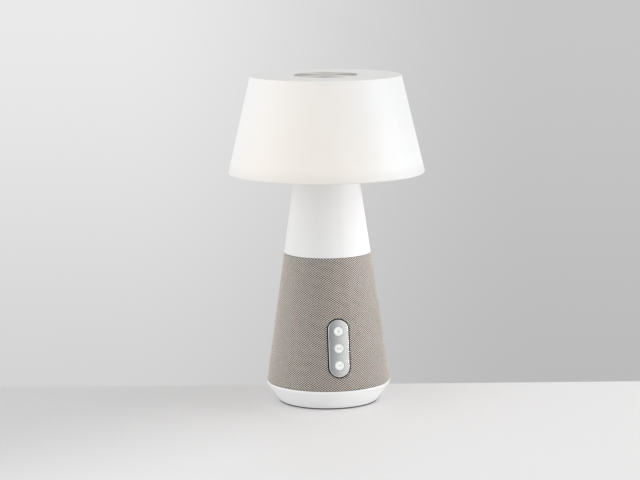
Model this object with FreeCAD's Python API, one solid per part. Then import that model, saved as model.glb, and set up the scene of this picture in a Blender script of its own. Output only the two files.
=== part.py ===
"""Cordless table lamp with a wireless loudspeaker in its foot: a conical body in two storeys,
cloth-covered below and plain white above, which carries a flared lampshade.

Millimetres, +Z up. The origin is on the table, at the centre of the rubber foot ring.
The key panel faces -Y and the charging panel faces +Y.
"""

import FreeCAD
import Part
import math
import os

Vector = FreeCAD.Vector

# ---------------------------------------------------------------- overall sizes
overall_height = 270.0
body_bottom_radius = 51.0
body_half_angle = 8.17
base_height = 16.9
cloth_top = 123.8
neck_top = 236.0
shade_height = 79.6
shade_top_radius = 61.8
shade_bottom_radius = 80.6

# ---------------------------------------------------------------- walls and clearances
shade_wall = 2.0
neck_wall = 2.2
frame_wall = 2.2
flange_thickness = 2.2
cloth_thickness = 0.9
cloth_gap = 0.1
groove = 0.4
close_gap = 0.1
loose_gap = 0.3
glue_gap = 0.05
board_thickness = 1.6
wall_root = 0.5
hole_spare = 0.5
cutter_reach = 8.0

# ---------------------------------------------------------------- base
foot_height = 0.9
foot_outer_radius = 40.4
foot_width = 6.0
base_bottom_radius = 41.0
base_lip_proud = 0.3
base_lip_height = 1.3
base_lip_edge = 0.8
base_edge = 0.4
base_wall = 2.4
base_lip_width = 2.2
plate_radius = 38.0
plate_thickness = 2.0
post_circle = 31.5
post_radius = 3.2
base_flange_bore = 38.0
ballast_radius = 27.0
ballast_thickness = 5.0
ballast_pin_radius = 3.0
ballast_edge = 0.5
head_sink = 0.8

# ---------------------------------------------------------------- screws: shank and head
small_screw = {"shank": 1.0, "head": 1.9, "head_height": 1.2}
large_screw = {"shank": 1.25, "head": 2.3, "head_height": 1.2}
thread_gap = 0.05
hole_gap = 0.2
thread_depth = 6.0
drive_slot_depth = 0.6
drive_slot_width = 0.3
drive_slot_length = 1.1
sunk_screw = {"head": 2.4, "neck": 1.6, "slot_width": 0.5, "slot_length": 2.6, "slot_depth": 0.5}

# ---------------------------------------------------------------- main board
board_standoff = 4.0
board_radius = 35.5
module_carrier = {"size": (20.0, 14.0, 0.8), "place": (-16.0, 4.0)}
module_can = {"size": (14.0, 12.0, 2.0), "place": (-18.0, 4.0)}
amplifier = {"size": (7.0, 7.0, 1.0), "place": (12.0, 6.0)}
charger = {"size": (5.0, 5.0, 0.9), "place": (2.0, -12.0)}
power_coil = {"size": (7.0, 7.0, 3.2), "place": (14.0, -8.0)}
capacitor = {"radius": 3.1, "height": 7.5, "edge": 0.5}
capacitor_places = [(0.0, 14.5), (7.5, 14.5)]
socket_size = (8.0, 5.0, 4.5)
socket_places = {
    "keys": (0.0, -25.0),
    "port": (0.0, 27.0),
    "power": (24.0, 14.0),
    "speaker": (-24.0, -10.0),
    "lamp": (-24.0, 15.0),
}

# ---------------------------------------------------------------- sound slots and leads
slot_count = 28
slot_width = 4.0
lead_radius = 1.0
lead_hole_radius = 1.5
lead_angles = {"power": 38.0, "lamp": 142.0}
lead_hole_inset = 3.4
arc_share = 0.45
volume_slack = 0.02

# ---------------------------------------------------------------- loudspeaker
baffle_bottom = 84.0
baffle_thickness = 3.0
ledge_thickness = 2.5
ledge_width = 4.1
flange_bore = 28.0
basket_radius = 24.4
basket_flange_width = 5.2
basket_flange_thickness = 1.4
basket_wall = 0.8
basket_edge = 0.3
basket_depth = 18.0
basket_shoulder = 2.0
basket_window_width = 18.0
basket_window_foot = 1.5
basket_window_head = 3.5
gasket_thickness = 1.0
top_plate_thickness = 3.0
magnet_radius = 17.5
magnet_bore = 10.5
magnet_thickness = 8.0
yoke_thickness = 3.0
yoke_radius = 16.5
pole_radius = 6.1
coil_inner_radius = 6.6
coil_outer_radius = 7.4
coil_gap = 0.6
coil_length = 17.0
cone_grip = 1.8
cone_stroke = 2.0
cone_thickness = 0.5
cone_lip = 2.0
dust_cap_radius = 8.6
dust_cap_rise = 3.0
dust_cap_thickness = 0.4
surround_width = 3.8
surround_overlap = 0.8
surround_thickness = 0.4
surround_grip = 1.8
surround_flat = 0.4
spider_radius = 15.0
spider_seat_height = 2.5
spider_seat_width = 1.5
spider_thickness = 0.4
spider_wave = 0.6
spider_waves = 3

# ---------------------------------------------------------------- bulkhead and battery
bulkhead_thickness = 2.5
neck_screw_inset = 3.95
neck_boss_radius = 2.6
neck_boss_length = 22.0
deflector_radius = 19.0
deflector_depth = 22.0
deflector_rim = 2.0
deflector_tip = {"radius": 2.6, "rounding": 1.5}
deflector_waist = {"radius": 7.6, "drop": 8.0, "rounding": 12.0}
deflector_pin_radius = 6.0
cell_radius = 9.15
cell_length = 65.0
cell_pole_radius = 3.2
cell_pole_height = 1.0
cell_edge = 0.7
tab_thickness = 0.3
tab_radius = 5.0
cradle_wall = 2.0
cradle_mouth = 14.0

# ---------------------------------------------------------------- front key panel
key_panel_height = 51.6
key_panel_width = 16.8
key_panel_length = 46.8
panel_proud = 0.8
panel_rim = 2.1
panel_edge = 0.5
gasket_width = 0.9
gasket_sink = 0.15
key_pitch = 13.9
key_radius = 3.65
key_proud = 0.45
key_edge = 0.4
key_travel = 0.5
key_side_gap = 0.15
key_flange_radius = 4.5
key_flange_thickness = 1.0
key_post_radius = 1.5
key_post_entry = 0.3
switch_bore_depth = 1.2
key_places = {"plus": key_pitch, "play": 0.0, "minus": -key_pitch}
symbol_depth = 0.15
symbol_width = 0.6
symbol_length = 3.2
play_sign = {"tail": -1.75, "tip": 0.27, "half_height": 1.35, "bar_width": 0.48, "bars": (0.87, 1.81)}
switch_side = 6.0
switch_height = 2.8
panel_boss_radius = 2.0
panel_board_depth = 6.8
panel_screw_tip = 1.0
key_bosses = (-key_pitch / 2, key_pitch / 2)
key_board_width = 14.0
key_board_length = 41.0

# ---------------------------------------------------------------- rear charging panel
port_panel_height = 46.0
port_panel_width = 15.0
port_panel_length = 36.0
port_board_width = 12.5
port_board_length = 33.0
port_boss_offset = 13.6
port_bosses = (-port_boss_offset, port_boss_offset)
socket_offset = -6.0
socket_width = 8.94
socket_thickness = 3.26
socket_wall = 0.35
socket_floor = 1.5
socket_sink = 0.2
tongue_width = 6.6
tongue_thickness = 0.75
tongue_root = 0.5
slider_offset = 6.0
slider_travel = 2.5
slider_width = 3.6
slider_thickness = 2.4
slider_proud = 0.5
slider_stem_width = 2.4
slider_stem_thickness = 1.6
slider_stem_root = 0.2
slider_edge = 0.3
slider_slot_rounding = 0.4
power_switch_width = 10.0
power_switch_thickness = 4.4
power_switch_height = 3.8
slider_seat_depth = 1.4
microphone_offset = 0.4
microphone_hole_radius = 0.7
microphone_size = (3.8, 3.0, 1.1)
microphone_port_radius = 0.4

# ---------------------------------------------------------------- lamp head
post_tube_radius = 11.0
post_bore = 7.0
post_flange_radius = 18.2
post_flange_thickness = 2.4
post_boss_circle = 12.6
post_boss_radius = 2.4
post_boss_spare = 1.5
post_edge = 0.6
top_flange_radius = 24.0
top_flange_edge = 0.4
shade_screw_circle = 19.5
shade_boss_length = 4.5
disc_radius = 25.7
disc_thickness = 1.2
disc_proud = 0.4
disc_edge = 0.35
clamp_thickness = 0.8
clamp_bore = 12.0
clamp_inset = 1.0
hub_thickness = 2.7
hub_radius = 29.0
hub_flare = 3.0
hub_bore = 9.0
shade_edges = {"roof": 1.2, "rim": 0.8, "inner_rim": 0.6, "ceiling": 1.0, "hub": 0.5, "recess": 0.2}
sensor_board_radius = 8.2
sensor_board_drop = 3.3
sensor_board_thickness = 1.2
contact_spring_radius = 2.4
contact_wire_radius = 0.35
contact_spring_turns = 4
points_per_turn = 8
strip_height = 10.0
strip_thickness = 0.4
strip_raise = 4.0
led_count = 12
led_size = (2.8, 0.8, 3.5)
diffuser_radius = 16.6
diffuser_wall = 1.3

# ---------------------------------------------------------------- places worked out from the sizes
body_slope = math.tan(math.radians(body_half_angle))
body_cosine = math.cos(math.radians(body_half_angle))
plate_top = foot_height + plate_thickness
flange_top = base_height + flange_thickness
board_bottom = flange_top + board_standoff
board_top = board_bottom + board_thickness
baffle_top = baffle_bottom + baffle_thickness
ledge_top = baffle_top + ledge_thickness
basket_flange_radius = basket_radius + basket_flange_width
driver_screw_circle = basket_radius + 3 * small_screw["shank"]
cone_rim_radius = basket_radius - surround_width
surround_outer_radius = basket_radius + surround_overlap
basket_seat = baffle_top + gasket_thickness
basket_top = basket_seat + basket_flange_thickness
top_plate_top = basket_seat - basket_depth
top_plate_bottom = top_plate_top - top_plate_thickness
magnet_bottom = top_plate_bottom - magnet_thickness
yoke_bottom = magnet_bottom - yoke_thickness
cone_rim_top = basket_top + close_gap
spider_seat = top_plate_top + spider_seat_height
frame_flange_bottom = cloth_top - flange_thickness
bulkhead_top = cloth_top + bulkhead_thickness
cloth_depth = cloth_thickness + cloth_gap
cell_bottom = bulkhead_top + cradle_wall + tab_thickness
cell_top = cell_bottom + cell_length
neck_ceiling = neck_top - neck_wall
shade_top = overall_height - disc_proud
shade_bottom = shade_top - shade_height
disc_bottom = overall_height - disc_thickness
recess_floor = disc_bottom - clamp_thickness
hub_bottom = recess_floor - hub_thickness
top_flange_bottom = hub_bottom - post_flange_thickness
sensor_board_bottom = hub_bottom - sensor_board_drop
shade_slope = (shade_bottom_radius - shade_top_radius) / shade_height
FRONT = 0.0
REAR = 180.0


# ================================================================ drawing helpers
def body_radius(height, depth=0.0):
    """Radius of the body's cone at a height, taken in by a depth measured square to its surface."""
    return body_bottom_radius - (height - base_height) * body_slope - depth / body_cosine


ledge_bore = body_radius(baffle_top, cloth_depth + frame_wall) - ledge_width
neck_screw_circle = body_radius(cloth_top, neck_wall) - neck_screw_inset
bulkhead_lead_circle = neck_screw_circle - neck_boss_radius - lead_hole_inset


def outline(corners):
    """Closed wire in the XZ plane. A corner is (radius, height) or (radius, height, rounding)."""
    points = [Vector(c[0], 0, c[1]) for c in corners]
    rounds = [c[2] if len(c) > 2 else 0.0 for c in corners]
    starts, ends, arcs = [], [], []
    for i, point in enumerate(points):
        if not rounds[i]:
            starts.append(point)
            ends.append(point)
            arcs.append(None)
            continue
        back = (points[i - 1] - point).normalize()
        ahead = (points[(i + 1) % len(points)] - point).normalize()
        half = back.getAngle(ahead) / 2
        reach = rounds[i] / math.tan(half)
        first, last = point + back * reach, point + ahead * reach
        centre = point + (back + ahead).normalize() * (rounds[i] / math.sin(half))
        middle = centre + (point - centre).normalize() * rounds[i]
        starts.append(first)
        ends.append(last)
        arcs.append(Part.Arc(first, middle, last).toShape())
    edges = []
    for i in range(len(points)):
        if arcs[i]:
            edges.append(arcs[i])
        start, end = ends[i], starts[(i + 1) % len(points)]
        if (end - start).Length > 1e-6:
            edges.append(Part.LineSegment(start, end).toShape())
    return Part.Wire(edges)


def turned(*corners):
    """Solid turned about Z from its outline."""
    return Part.Face(outline(corners)).revolve(Vector(0, 0, 0), Vector(0, 0, 1), 360)


def disc(radius, bottom, top, x=0.0, y=0.0):
    return Part.makeCylinder(radius, top - bottom, Vector(x, y, bottom))


def ring(outer, inner, bottom, top):
    return disc(outer, bottom, top).cut(disc(inner, bottom, top))


def block(width, depth, height, x, y, z):
    """Box centred on x and y, standing on z."""
    return Part.makeBox(width, depth, height, Vector(x - width / 2, y - depth / 2, z))


def on_circle(radius, count, first=0.0):
    """Places spaced evenly on a circle, as (x, y)."""
    angles = [math.radians(first + 360.0 * i / count) for i in range(count)]
    return [(radius * math.cos(a), radius * math.sin(a)) for a in angles]


def joined(first, others):
    """Union of solids, with faces that run on merged."""
    return first.fuse(list(others)).removeSplitter() if others else first


def rounded_box(width, height, rounding, bottom, top, y=0.0):
    """Prism along Z whose section is a rectangle with rounded corners."""
    a, b, r = width / 2, height / 2, rounding
    core = Part.makeBox(width - 2 * r, height, top - bottom, Vector(r - a, y - b, bottom))
    sides = []
    if height > 2 * r + 1e-6:
        sides.append(Part.makeBox(width, height - 2 * r, top - bottom, Vector(-a, y + r - b, bottom)))
    corners = {(sx * (a - r), y + sy * (b - r)) for sx in (-1, 1) for sy in (-1, 1)}
    sides += [disc(r, bottom, top, cx, cy) for cx, cy in sorted(corners)]
    return joined(core, sides)


def pill(width, length, bottom, top):
    """Prism along Z whose section has two straight sides and two half-round ends."""
    straight = length - width
    ends = [disc(width / 2, bottom, top, 0, s * straight / 2) for s in (-1, 1)]
    return joined(block(width, straight, top - bottom, 0, 0, bottom), ends)


def cone_layer(bottom, top, outer_depth, inner_depth):
    """Layer of the body's cone between two depths under its surface."""
    return turned(
        (body_radius(bottom, inner_depth), bottom),
        (body_radius(bottom, outer_depth), bottom),
        (body_radius(top, outer_depth), top),
        (body_radius(top, inner_depth), top),
    )


def on_wall(shape, height, turn):
    """Sets a shape on the body's wall. It is drawn with x across, y up the slope and z outwards,
    from the point of the wall at that height, which turn then carries round from the front."""
    angle = math.radians(body_half_angle)
    across = Vector(1, 0, 0)
    upwards = Vector(0, math.sin(angle), math.cos(angle))
    outwards = Vector(0, -math.cos(angle), math.sin(angle))
    spin = FreeCAD.Placement(Vector(0, 0, 0), FreeCAD.Rotation(Vector(0, 0, 1), turn))
    seat = FreeCAD.Placement(
        Vector(0, -body_radius(height), height),
        FreeCAD.Rotation(across, upwards, outwards, "XYZ"),
    )
    placed = shape.copy()
    placed.Placement = spin.multiply(seat).multiply(placed.Placement)
    return placed


def screw(size, length, x, y, seat, up=True):
    """Pan-head screw whose head bears on height seat, with its shank going up or down from there.
    Its cross slot is cut as shares of the head's radius and height."""
    way = 1 if up else -1
    low, high = sorted((seat, seat + way * length))
    shank = disc(size["shank"], low, high, x, y)
    low, high = sorted((seat, seat - way * size["head_height"]))
    head = disc(size["head"], low, high, x, y)
    depth = size["head_height"] * drive_slot_depth
    face = low if up else high - depth
    length, width = size["head"] * drive_slot_length, size["head"] * drive_slot_width
    slots = [block(length, width, depth, x, y, face), block(width, length, depth, x, y, face)]
    return joined(head, [shank]).cut(slots)


def pilot(size):
    return size["shank"] + thread_gap


def clear(size):
    return size["shank"] + hole_gap


def lead(points, radius):
    """Round wire along straight runs joined by tangent arcs, each arc as large as its runs allow."""
    places = [Vector(*p) for p in points]
    edges, start = [], places[0]
    for before, corner, after in zip(places, places[1:], places[2:]):
        back, ahead = before - corner, after - corner
        reach = arc_share * min(back.Length, ahead.Length)
        turn = math.pi - back.getAngle(ahead)
        bend = reach / math.tan(turn / 2)
        back, ahead = back.normalize(), ahead.normalize()
        first, last = corner + back * reach, corner + ahead * reach
        inward = (back + ahead).normalize()
        middle = corner + inward * (bend / math.cos(turn / 2) - bend)
        edges.append(Part.LineSegment(start, first).toShape())
        edges.append(Part.Arc(first, middle, last).toShape())
        start = last
    edges.append(Part.LineSegment(start, places[-1]).toShape())
    path = Part.Wire(edges)
    along = (places[1] - places[0]).normalize()
    section = Part.Wire(Part.makeCircle(radius, places[0], along))
    tube = path.makePipeShell([section], True, True)
    share = tube.Volume / (math.pi * radius**2 * path.Length)
    assert abs(share - 1) < volume_slack, f"lead volume is {share:.3f} of its section times its length"
    return tube


# ================================================================ base
def foot_ring():
    return ring(foot_outer_radius, foot_outer_radius - foot_width, 0, foot_height)


def base_ring():
    """White skirt that narrows to the table, under a low lip that stands just proud of the cloth.
    Its foot bears on the base plate, and its flange on the carrier cone."""
    shoulder_radius = body_bottom_radius + base_lip_proud
    shoulder_height = base_height - base_lip_height
    spread = (shoulder_radius - base_bottom_radius) / (shoulder_height - foot_height)
    across = base_wall * math.sqrt(1 + spread**2)
    inner_low = plate_top + plate_thickness
    inner_high = base_height - flange_thickness
    low_radius = base_bottom_radius + spread * (inner_low - foot_height) - across
    high_radius = base_bottom_radius + spread * (inner_high - foot_height) - across
    rebate = plate_radius + close_gap
    lip = rebate - base_lip_width
    return turned(
        (rebate, foot_height),
        (base_bottom_radius, foot_height, base_edge),
        (shoulder_radius, shoulder_height, base_lip_edge),
        (body_bottom_radius, base_height, base_edge),
        (base_flange_bore, base_height),
        (base_flange_bore, inner_high),
        (high_radius, inner_high),
        (low_radius, inner_low),
        (lip, inner_low),
        (lip, plate_top),
        (rebate, plate_top),
    )


def base_plate():
    """Floor of the base, with a pin for the ballast and sunk places for its four screws' heads."""
    plate = disc(plate_radius, foot_height, plate_top)
    pin = disc(ballast_pin_radius, plate_top, plate_top + ballast_thickness)
    head = large_screw["head"] + hole_gap
    seat = foot_height + head_sink
    holes = [disc(clear(large_screw), foot_height, plate_top, x, y) for x, y in posts()]
    holes += [disc(head, foot_height, seat, x, y) for x, y in posts()]
    return joined(plate, [pin]).cut(holes)


def posts():
    return on_circle(post_circle, 4, 45)


def base_screws():
    length = plate_thickness - head_sink + thread_depth
    return [screw(large_screw, length, x, y, foot_height + head_sink) for x, y in posts()]


def ballast():
    bore = ballast_pin_radius + close_gap
    return turned(
        (bore, plate_top),
        (ballast_radius, plate_top, ballast_edge),
        (ballast_radius, plate_top + ballast_thickness, ballast_edge),
        (bore, plate_top + ballast_thickness),
    )


# ================================================================ main board
def main_board():
    board = disc(board_radius, board_bottom, board_top)
    holes = [disc(clear(small_screw), board_bottom, board_top, x, y) for x, y in posts()]
    return board.cut(holes)


def board_screws():
    length = board_thickness + thread_depth
    return [screw(small_screw, length, x, y, board_top, up=False) for x, y in posts()]


def standing(piece, bottom):
    """Box of a component's size, standing at its place on a height."""
    return block(*piece["size"], *piece["place"], bottom)


def wireless_module():
    """Screened radio can on its own small carrier."""
    can_bottom = board_top + module_carrier["size"][2]
    return joined(standing(module_carrier, board_top), [standing(module_can, can_bottom)])


def board_chips():
    """Amplifier, charger and coil, and two upright capacitors."""
    chips = [standing(piece, board_top) for piece in (amplifier, charger, power_coil)]
    radius, top = capacitor["radius"], board_top + capacitor["height"]
    for x, y in capacitor_places:
        can = turned((0, board_top), (radius, board_top), (radius, top, capacitor["edge"]), (0, top))
        can.translate(Vector(x, y, 0))
        chips.append(can)
    return chips


def board_sockets():
    """Lead sockets round the rim of the board."""
    width, depth, height = socket_size
    return [block(width, depth, height, x, y, board_top) for x, y in socket_places.values()]


# ================================================================ cloth-covered storey
def inner_flange(bore, bottom, top):
    """Flange that runs into the carrier cone's wall from inside."""
    inner = cloth_depth + frame_wall
    return turned(
        (bore, bottom),
        (body_radius(bottom, inner) + wall_root, bottom),
        (body_radius(top, inner) + wall_root, top),
        (bore, top),
    )


def grille_frame():
    """Carrier cone under the cloth: sound slots above the baffle, and a closed wall below it."""
    wall = cone_layer(base_height, cloth_top, cloth_depth, cloth_depth + frame_wall)
    flanges = [
        inner_flange(flange_bore, base_height, flange_top),
        inner_flange(ledge_bore, baffle_top, ledge_top),
        inner_flange(neck_screw_circle - neck_boss_radius, frame_flange_bottom, cloth_top),
    ]
    columns = [disc(post_radius, plate_top, board_bottom, x, y) for x, y in posts()]
    frame = joined(wall, flanges + columns)
    depth = thread_depth + hole_spare
    cuts = [disc(pilot(large_screw), plate_top, plate_top + depth, x, y) for x, y in posts()]
    cuts += [disc(pilot(small_screw), board_bottom - depth, board_bottom, x, y) for x, y in posts()]
    cuts += [disc(pilot(small_screw), baffle_top, ledge_top, x, y) for x, y in baffle_screw_places()]
    cuts += [disc(clear(large_screw), frame_flange_bottom, cloth_top, x, y) for x, y in neck_screw_places()]
    cuts += sound_slots()
    for width, length, height, turn in panels():
        window = pill(width - 2 * panel_rim, length - 2 * panel_rim, -3 * frame_wall, frame_wall)
        cuts.append(on_wall(window, height, turn))
    return frame.cut(cuts)


def sound_slots():
    """Upright slots through the wall between the ledge and the head flange."""
    bottom, top = ledge_top + slot_width, frame_flange_bottom - slot_width
    reach = body_radius(bottom)
    straight = top - bottom - slot_width
    slot = block(reach, slot_width, straight, reach, 0, bottom + slot_width / 2)
    for z in (bottom + slot_width / 2, top - slot_width / 2):
        end = Part.makeCylinder(slot_width / 2, reach, Vector(reach / 2, 0, z), Vector(1, 0, 0))
        slot = slot.fuse(end)
    turns = [360.0 * (i + 0.5) / slot_count for i in range(slot_count)]
    return [slot.rotated(Vector(0, 0, 0), Vector(0, 0, 1), turn) for turn in turns]


def panels():
    """Width, length, height and turn of the two panels let into the cloth."""
    return [
        (key_panel_width, key_panel_length, key_panel_height, FRONT),
        (port_panel_width, port_panel_length, port_panel_height, REAR),
    ]


def fabric_sleeve():
    cloth = cone_layer(base_height + groove, cloth_top - groove, 0, cloth_thickness)
    cuts = []
    for width, length, height, turn in panels():
        opening = pill(width + 2 * gasket_width, length + 2 * gasket_width, -cutter_reach, cutter_reach)
        cuts.append(on_wall(opening, height, turn))
    return cloth.cut(cuts)


# ================================================================ loudspeaker
def baffle_radius():
    return body_radius(baffle_top, cloth_depth + frame_wall) - loose_gap


def baffle_screw_places():
    return on_circle((ledge_bore + baffle_radius()) / 2, 4, 0)


def driver_screw_places():
    return on_circle(driver_screw_circle, 4, 45)


def lead_place(circle, name):
    angle = math.radians(lead_angles[name])
    return circle * math.cos(angle), circle * math.sin(angle)


def baffle_lead_circle():
    return (basket_flange_radius + ledge_bore) / 2


def driver_baffle():
    baffle = ring(baffle_radius(), basket_radius + loose_gap, baffle_bottom, baffle_top)
    holes = [disc(clear(small_screw), baffle_bottom, baffle_top, x, y) for x, y in baffle_screw_places()]
    holes += [disc(pilot(small_screw), baffle_bottom, baffle_top, x, y) for x, y in driver_screw_places()]
    for name in lead_angles:
        x, y = lead_place(baffle_lead_circle(), name)
        holes.append(disc(lead_hole_radius, baffle_bottom, baffle_top, x, y))
    return baffle.cut(holes)


def driver_screws():
    """Screws that hold the baffle up to its ledge, and the driver down to the baffle."""
    length = baffle_thickness + ledge_thickness
    found = [screw(small_screw, length, x, y, baffle_bottom) for x, y in baffle_screw_places()]
    found += [screw(small_screw, length, x, y, basket_top, up=False) for x, y in driver_screw_places()]
    return found


def driver_gasket():
    gasket = ring(basket_flange_radius, basket_radius + loose_gap, baffle_top, basket_seat)
    holes = [disc(clear(small_screw), baffle_top, basket_seat, x, y) for x, y in driver_screw_places()]
    return gasket.cut(holes)


def driver_basket():
    """Pressed steel frame: a flange, four legs, and a seat for the top plate and the spider."""
    inside = spider_radius - spider_seat_width
    shoulder = basket_seat - basket_shoulder
    shell = turned(
        (magnet_bore, top_plate_top),
        (yoke_radius, top_plate_top),
        (basket_radius, shoulder),
        (basket_radius, basket_seat),
        (basket_flange_radius, basket_seat, basket_edge),
        (basket_flange_radius, basket_top, basket_edge),
        (basket_radius - basket_wall, basket_top, basket_edge),
        (basket_radius - basket_wall, shoulder + wall_root),
        (spider_radius + loose_gap, spider_seat),
        (inside, spider_seat),
        (inside, top_plate_top + basket_wall),
        (magnet_bore, top_plate_top + basket_wall),
    )
    low, high = spider_seat + basket_window_foot, basket_seat - basket_window_head
    reach = basket_radius + basket_flange_width
    window = Part.makeBox(reach, basket_window_width, high - low, Vector(0, -basket_window_width / 2, low))
    windows = [window.rotated(Vector(0, 0, 0), Vector(0, 0, 1), 90 * i) for i in range(4)]
    holes = [disc(clear(small_screw), basket_seat, basket_top, x, y) for x, y in driver_screw_places()]
    return shell.cut(windows + holes)


def driver_steel():
    """The magnet circuit's steel: the top plate, and the yoke with its pole."""
    bore = coil_outer_radius + coil_gap
    top_plate = ring(yoke_radius, bore, top_plate_bottom, top_plate_top)
    yoke = disc(yoke_radius, yoke_bottom, magnet_bottom)
    pole = disc(pole_radius, magnet_bottom, top_plate_top)
    return [top_plate, joined(yoke, [pole])]


def driver_magnet():
    return turned(
        (magnet_bore, magnet_bottom),
        (magnet_radius, magnet_bottom, 0.4),
        (magnet_radius, top_plate_bottom, 0.4),
        (magnet_bore, top_plate_bottom),
    )


def coil_bottom():
    return top_plate_bottom - cone_stroke


def voice_coil():
    return ring(coil_outer_radius, coil_inner_radius, coil_bottom(), coil_bottom() + coil_length)


def cone_neck():
    """Height at which the cone grips the coil."""
    return coil_bottom() + coil_length - cone_grip


def driver_cone():
    """Paper cone with a flat lip, standing round the top of the coil."""
    bore = coil_outer_radius + glue_gap
    lip = cone_rim_radius - cone_lip
    low, high, t = cone_neck(), cone_rim_top, cone_thickness
    return turned(
        (bore, low),
        (bore + t, low),
        (lip + t / 2, high - t),
        (cone_rim_radius, high - t),
        (cone_rim_radius, high),
        (lip, high),
        (bore, low + 2 * t),
    )


def cone_surface(radius):
    """Height of the cone's upper face at a radius."""
    bore, lip = coil_outer_radius + glue_gap, cone_rim_radius - cone_lip
    low, high = cone_neck() + 2 * cone_thickness, cone_rim_top
    return low + (high - low) * (radius - bore) / (lip - bore)


def dome(radius, bottom, rise, thickness):
    """Thin cap, domed upwards and open below."""
    inner, low = radius - thickness, rise - thickness
    shapes = [
        Part.Arc(*arch(radius, bottom, rise)),
        Part.LineSegment(Vector(0, 0, bottom + rise), Vector(0, 0, bottom + low)),
        Part.Arc(*reversed(arch(inner, bottom, low))),
        Part.LineSegment(Vector(inner, 0, bottom), Vector(radius, 0, bottom)),
    ]
    wire = Part.Wire([shape.toShape() for shape in shapes])
    return Part.Face(wire).revolve(Vector(0, 0, 0), Vector(0, 0, 1), 360)


def arch(radius, bottom, rise):
    """Three points of the arc from a dome's rim to its crown."""
    full = (radius**2 + rise**2) / (2 * rise)
    half = math.asin(radius / full) / 2
    middle = Vector(full * math.sin(half), 0, bottom + rise - full * (1 - math.cos(half)))
    return Vector(radius, 0, bottom), middle, Vector(0, 0, bottom + rise)


def driver_dust_cap():
    rim = cone_surface(dust_cap_radius) + glue_gap
    return dome(dust_cap_radius, rim, dust_cap_rise, dust_cap_thickness)


def driver_surround():
    """Half-roll rubber edge from the cone's lip to the basket's flange."""
    inner, outer = cone_rim_radius + surround_flat, basket_radius - surround_flat
    middle, roll, t = (inner + outer) / 2, (outer - inner) / 2, surround_thickness
    low = cone_rim_top + glue_gap
    high = low + t
    grip = cone_rim_radius - surround_grip
    under = [Vector(grip, 0, low), Vector(inner, 0, low)]
    over = [Vector(outer, 0, low), Vector(surround_outer_radius, 0, low)]
    back = [Vector(surround_outer_radius, 0, high), Vector(outer + t, 0, high)]
    home = [Vector(inner - t, 0, high), Vector(grip, 0, high)]
    profile = [
        Part.LineSegment(*under),
        Part.Arc(under[1], Vector(middle, 0, low + roll), over[0]),
        Part.LineSegment(*over),
        Part.LineSegment(over[1], back[0]),
        Part.LineSegment(*back),
        Part.Arc(back[1], Vector(middle, 0, high + roll), home[0]),
        Part.LineSegment(*home),
        Part.LineSegment(home[1], under[0]),
    ]
    wire = Part.Wire([part.toShape() for part in profile])
    return Part.Face(wire).revolve(Vector(0, 0, 0), Vector(0, 0, 1), 360)


def driver_spider():
    """Corrugated centring disc between the coil and the basket."""
    base = spider_seat + glue_gap
    inner = coil_outer_radius + close_gap
    flat = spider_radius - spider_seat_width + close_gap
    pitch = (flat - inner) / (2 * spider_waves)
    heights = [0, spider_wave] * spider_waves + [0]
    lower = [(inner + i * pitch, base + h) for i, h in enumerate(heights)] + [(spider_radius, base)]
    upper = [(r, z + spider_thickness) for r, z in reversed(lower)]
    return turned(*lower, *upper)


# ================================================================ bulkhead and neck
def neck_screw_places():
    return on_circle(neck_screw_circle, 3, 30)


def post_screw_places():
    return on_circle(post_boss_circle, 3, 30)


def bulkhead():
    """Floor between the two storeys, clamped between the frame and the neck."""
    radius = body_radius(bulkhead_top, neck_wall) - loose_gap
    floor = disc(radius, cloth_top, bulkhead_top)
    holes = [disc(deflector_pin_radius + close_gap, cloth_top, bulkhead_top)]
    holes += [disc(clear(large_screw), cloth_top, bulkhead_top, x, y) for x, y in neck_screw_places()]
    for name in lead_angles:
        x, y = lead_place(bulkhead_lead_circle, name)
        holes.append(disc(lead_hole_radius, cloth_top, bulkhead_top, x, y))
    return floor.cut(holes)


def sound_deflector():
    """Flared cone over the driver, which turns its sound outwards through the slots."""
    tip = cloth_top - deflector_depth
    return turned(
        (0, tip),
        (deflector_tip["radius"], tip, deflector_tip["rounding"]),
        (deflector_waist["radius"], cloth_top - deflector_waist["drop"], deflector_waist["rounding"]),
        (deflector_radius, cloth_top - deflector_rim),
        (deflector_radius, cloth_top),
        (deflector_pin_radius, cloth_top),
        (deflector_pin_radius, bulkhead_top),
        (0, bulkhead_top),
    )


def neck_shell():
    """Plain white upper storey, closed at its top, with three screw bosses inside its foot."""
    outer = turned(
        (0, cloth_top),
        (body_radius(cloth_top), cloth_top, 0.4),
        (body_radius(neck_top), neck_top, 1.0),
        (0, neck_top),
    )
    hollow = turned(
        (0, cloth_top),
        (body_radius(cloth_top, neck_wall), cloth_top),
        (body_radius(neck_ceiling, neck_wall), neck_ceiling),
        (0, neck_ceiling),
    )
    shell = outer.cut(hollow)
    high = bulkhead_top + neck_boss_length
    bosses = [disc(neck_boss_radius, bulkhead_top, high, x, y) for x, y in neck_screw_places()]
    shell = joined(shell, [boss.common(outer) for boss in bosses])
    top = bulkhead_top + thread_depth + hole_spare
    cuts = [disc(pilot(large_screw), bulkhead_top, top, x, y) for x, y in neck_screw_places()]
    cuts += [disc(clear(large_screw), neck_ceiling, neck_top, x, y) for x, y in post_screw_places()]
    cuts.append(disc(post_bore, neck_ceiling, neck_top))
    return shell.cut(cuts)


def neck_screws():
    """Identical screws: three up through the bulkhead, and three up into the lamp post."""
    length = flange_thickness + bulkhead_thickness + thread_depth
    found = [screw(large_screw, length, x, y, frame_flange_bottom) for x, y in neck_screw_places()]
    found += [screw(large_screw, length, x, y, neck_ceiling) for x, y in post_screw_places()]
    return found


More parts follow.
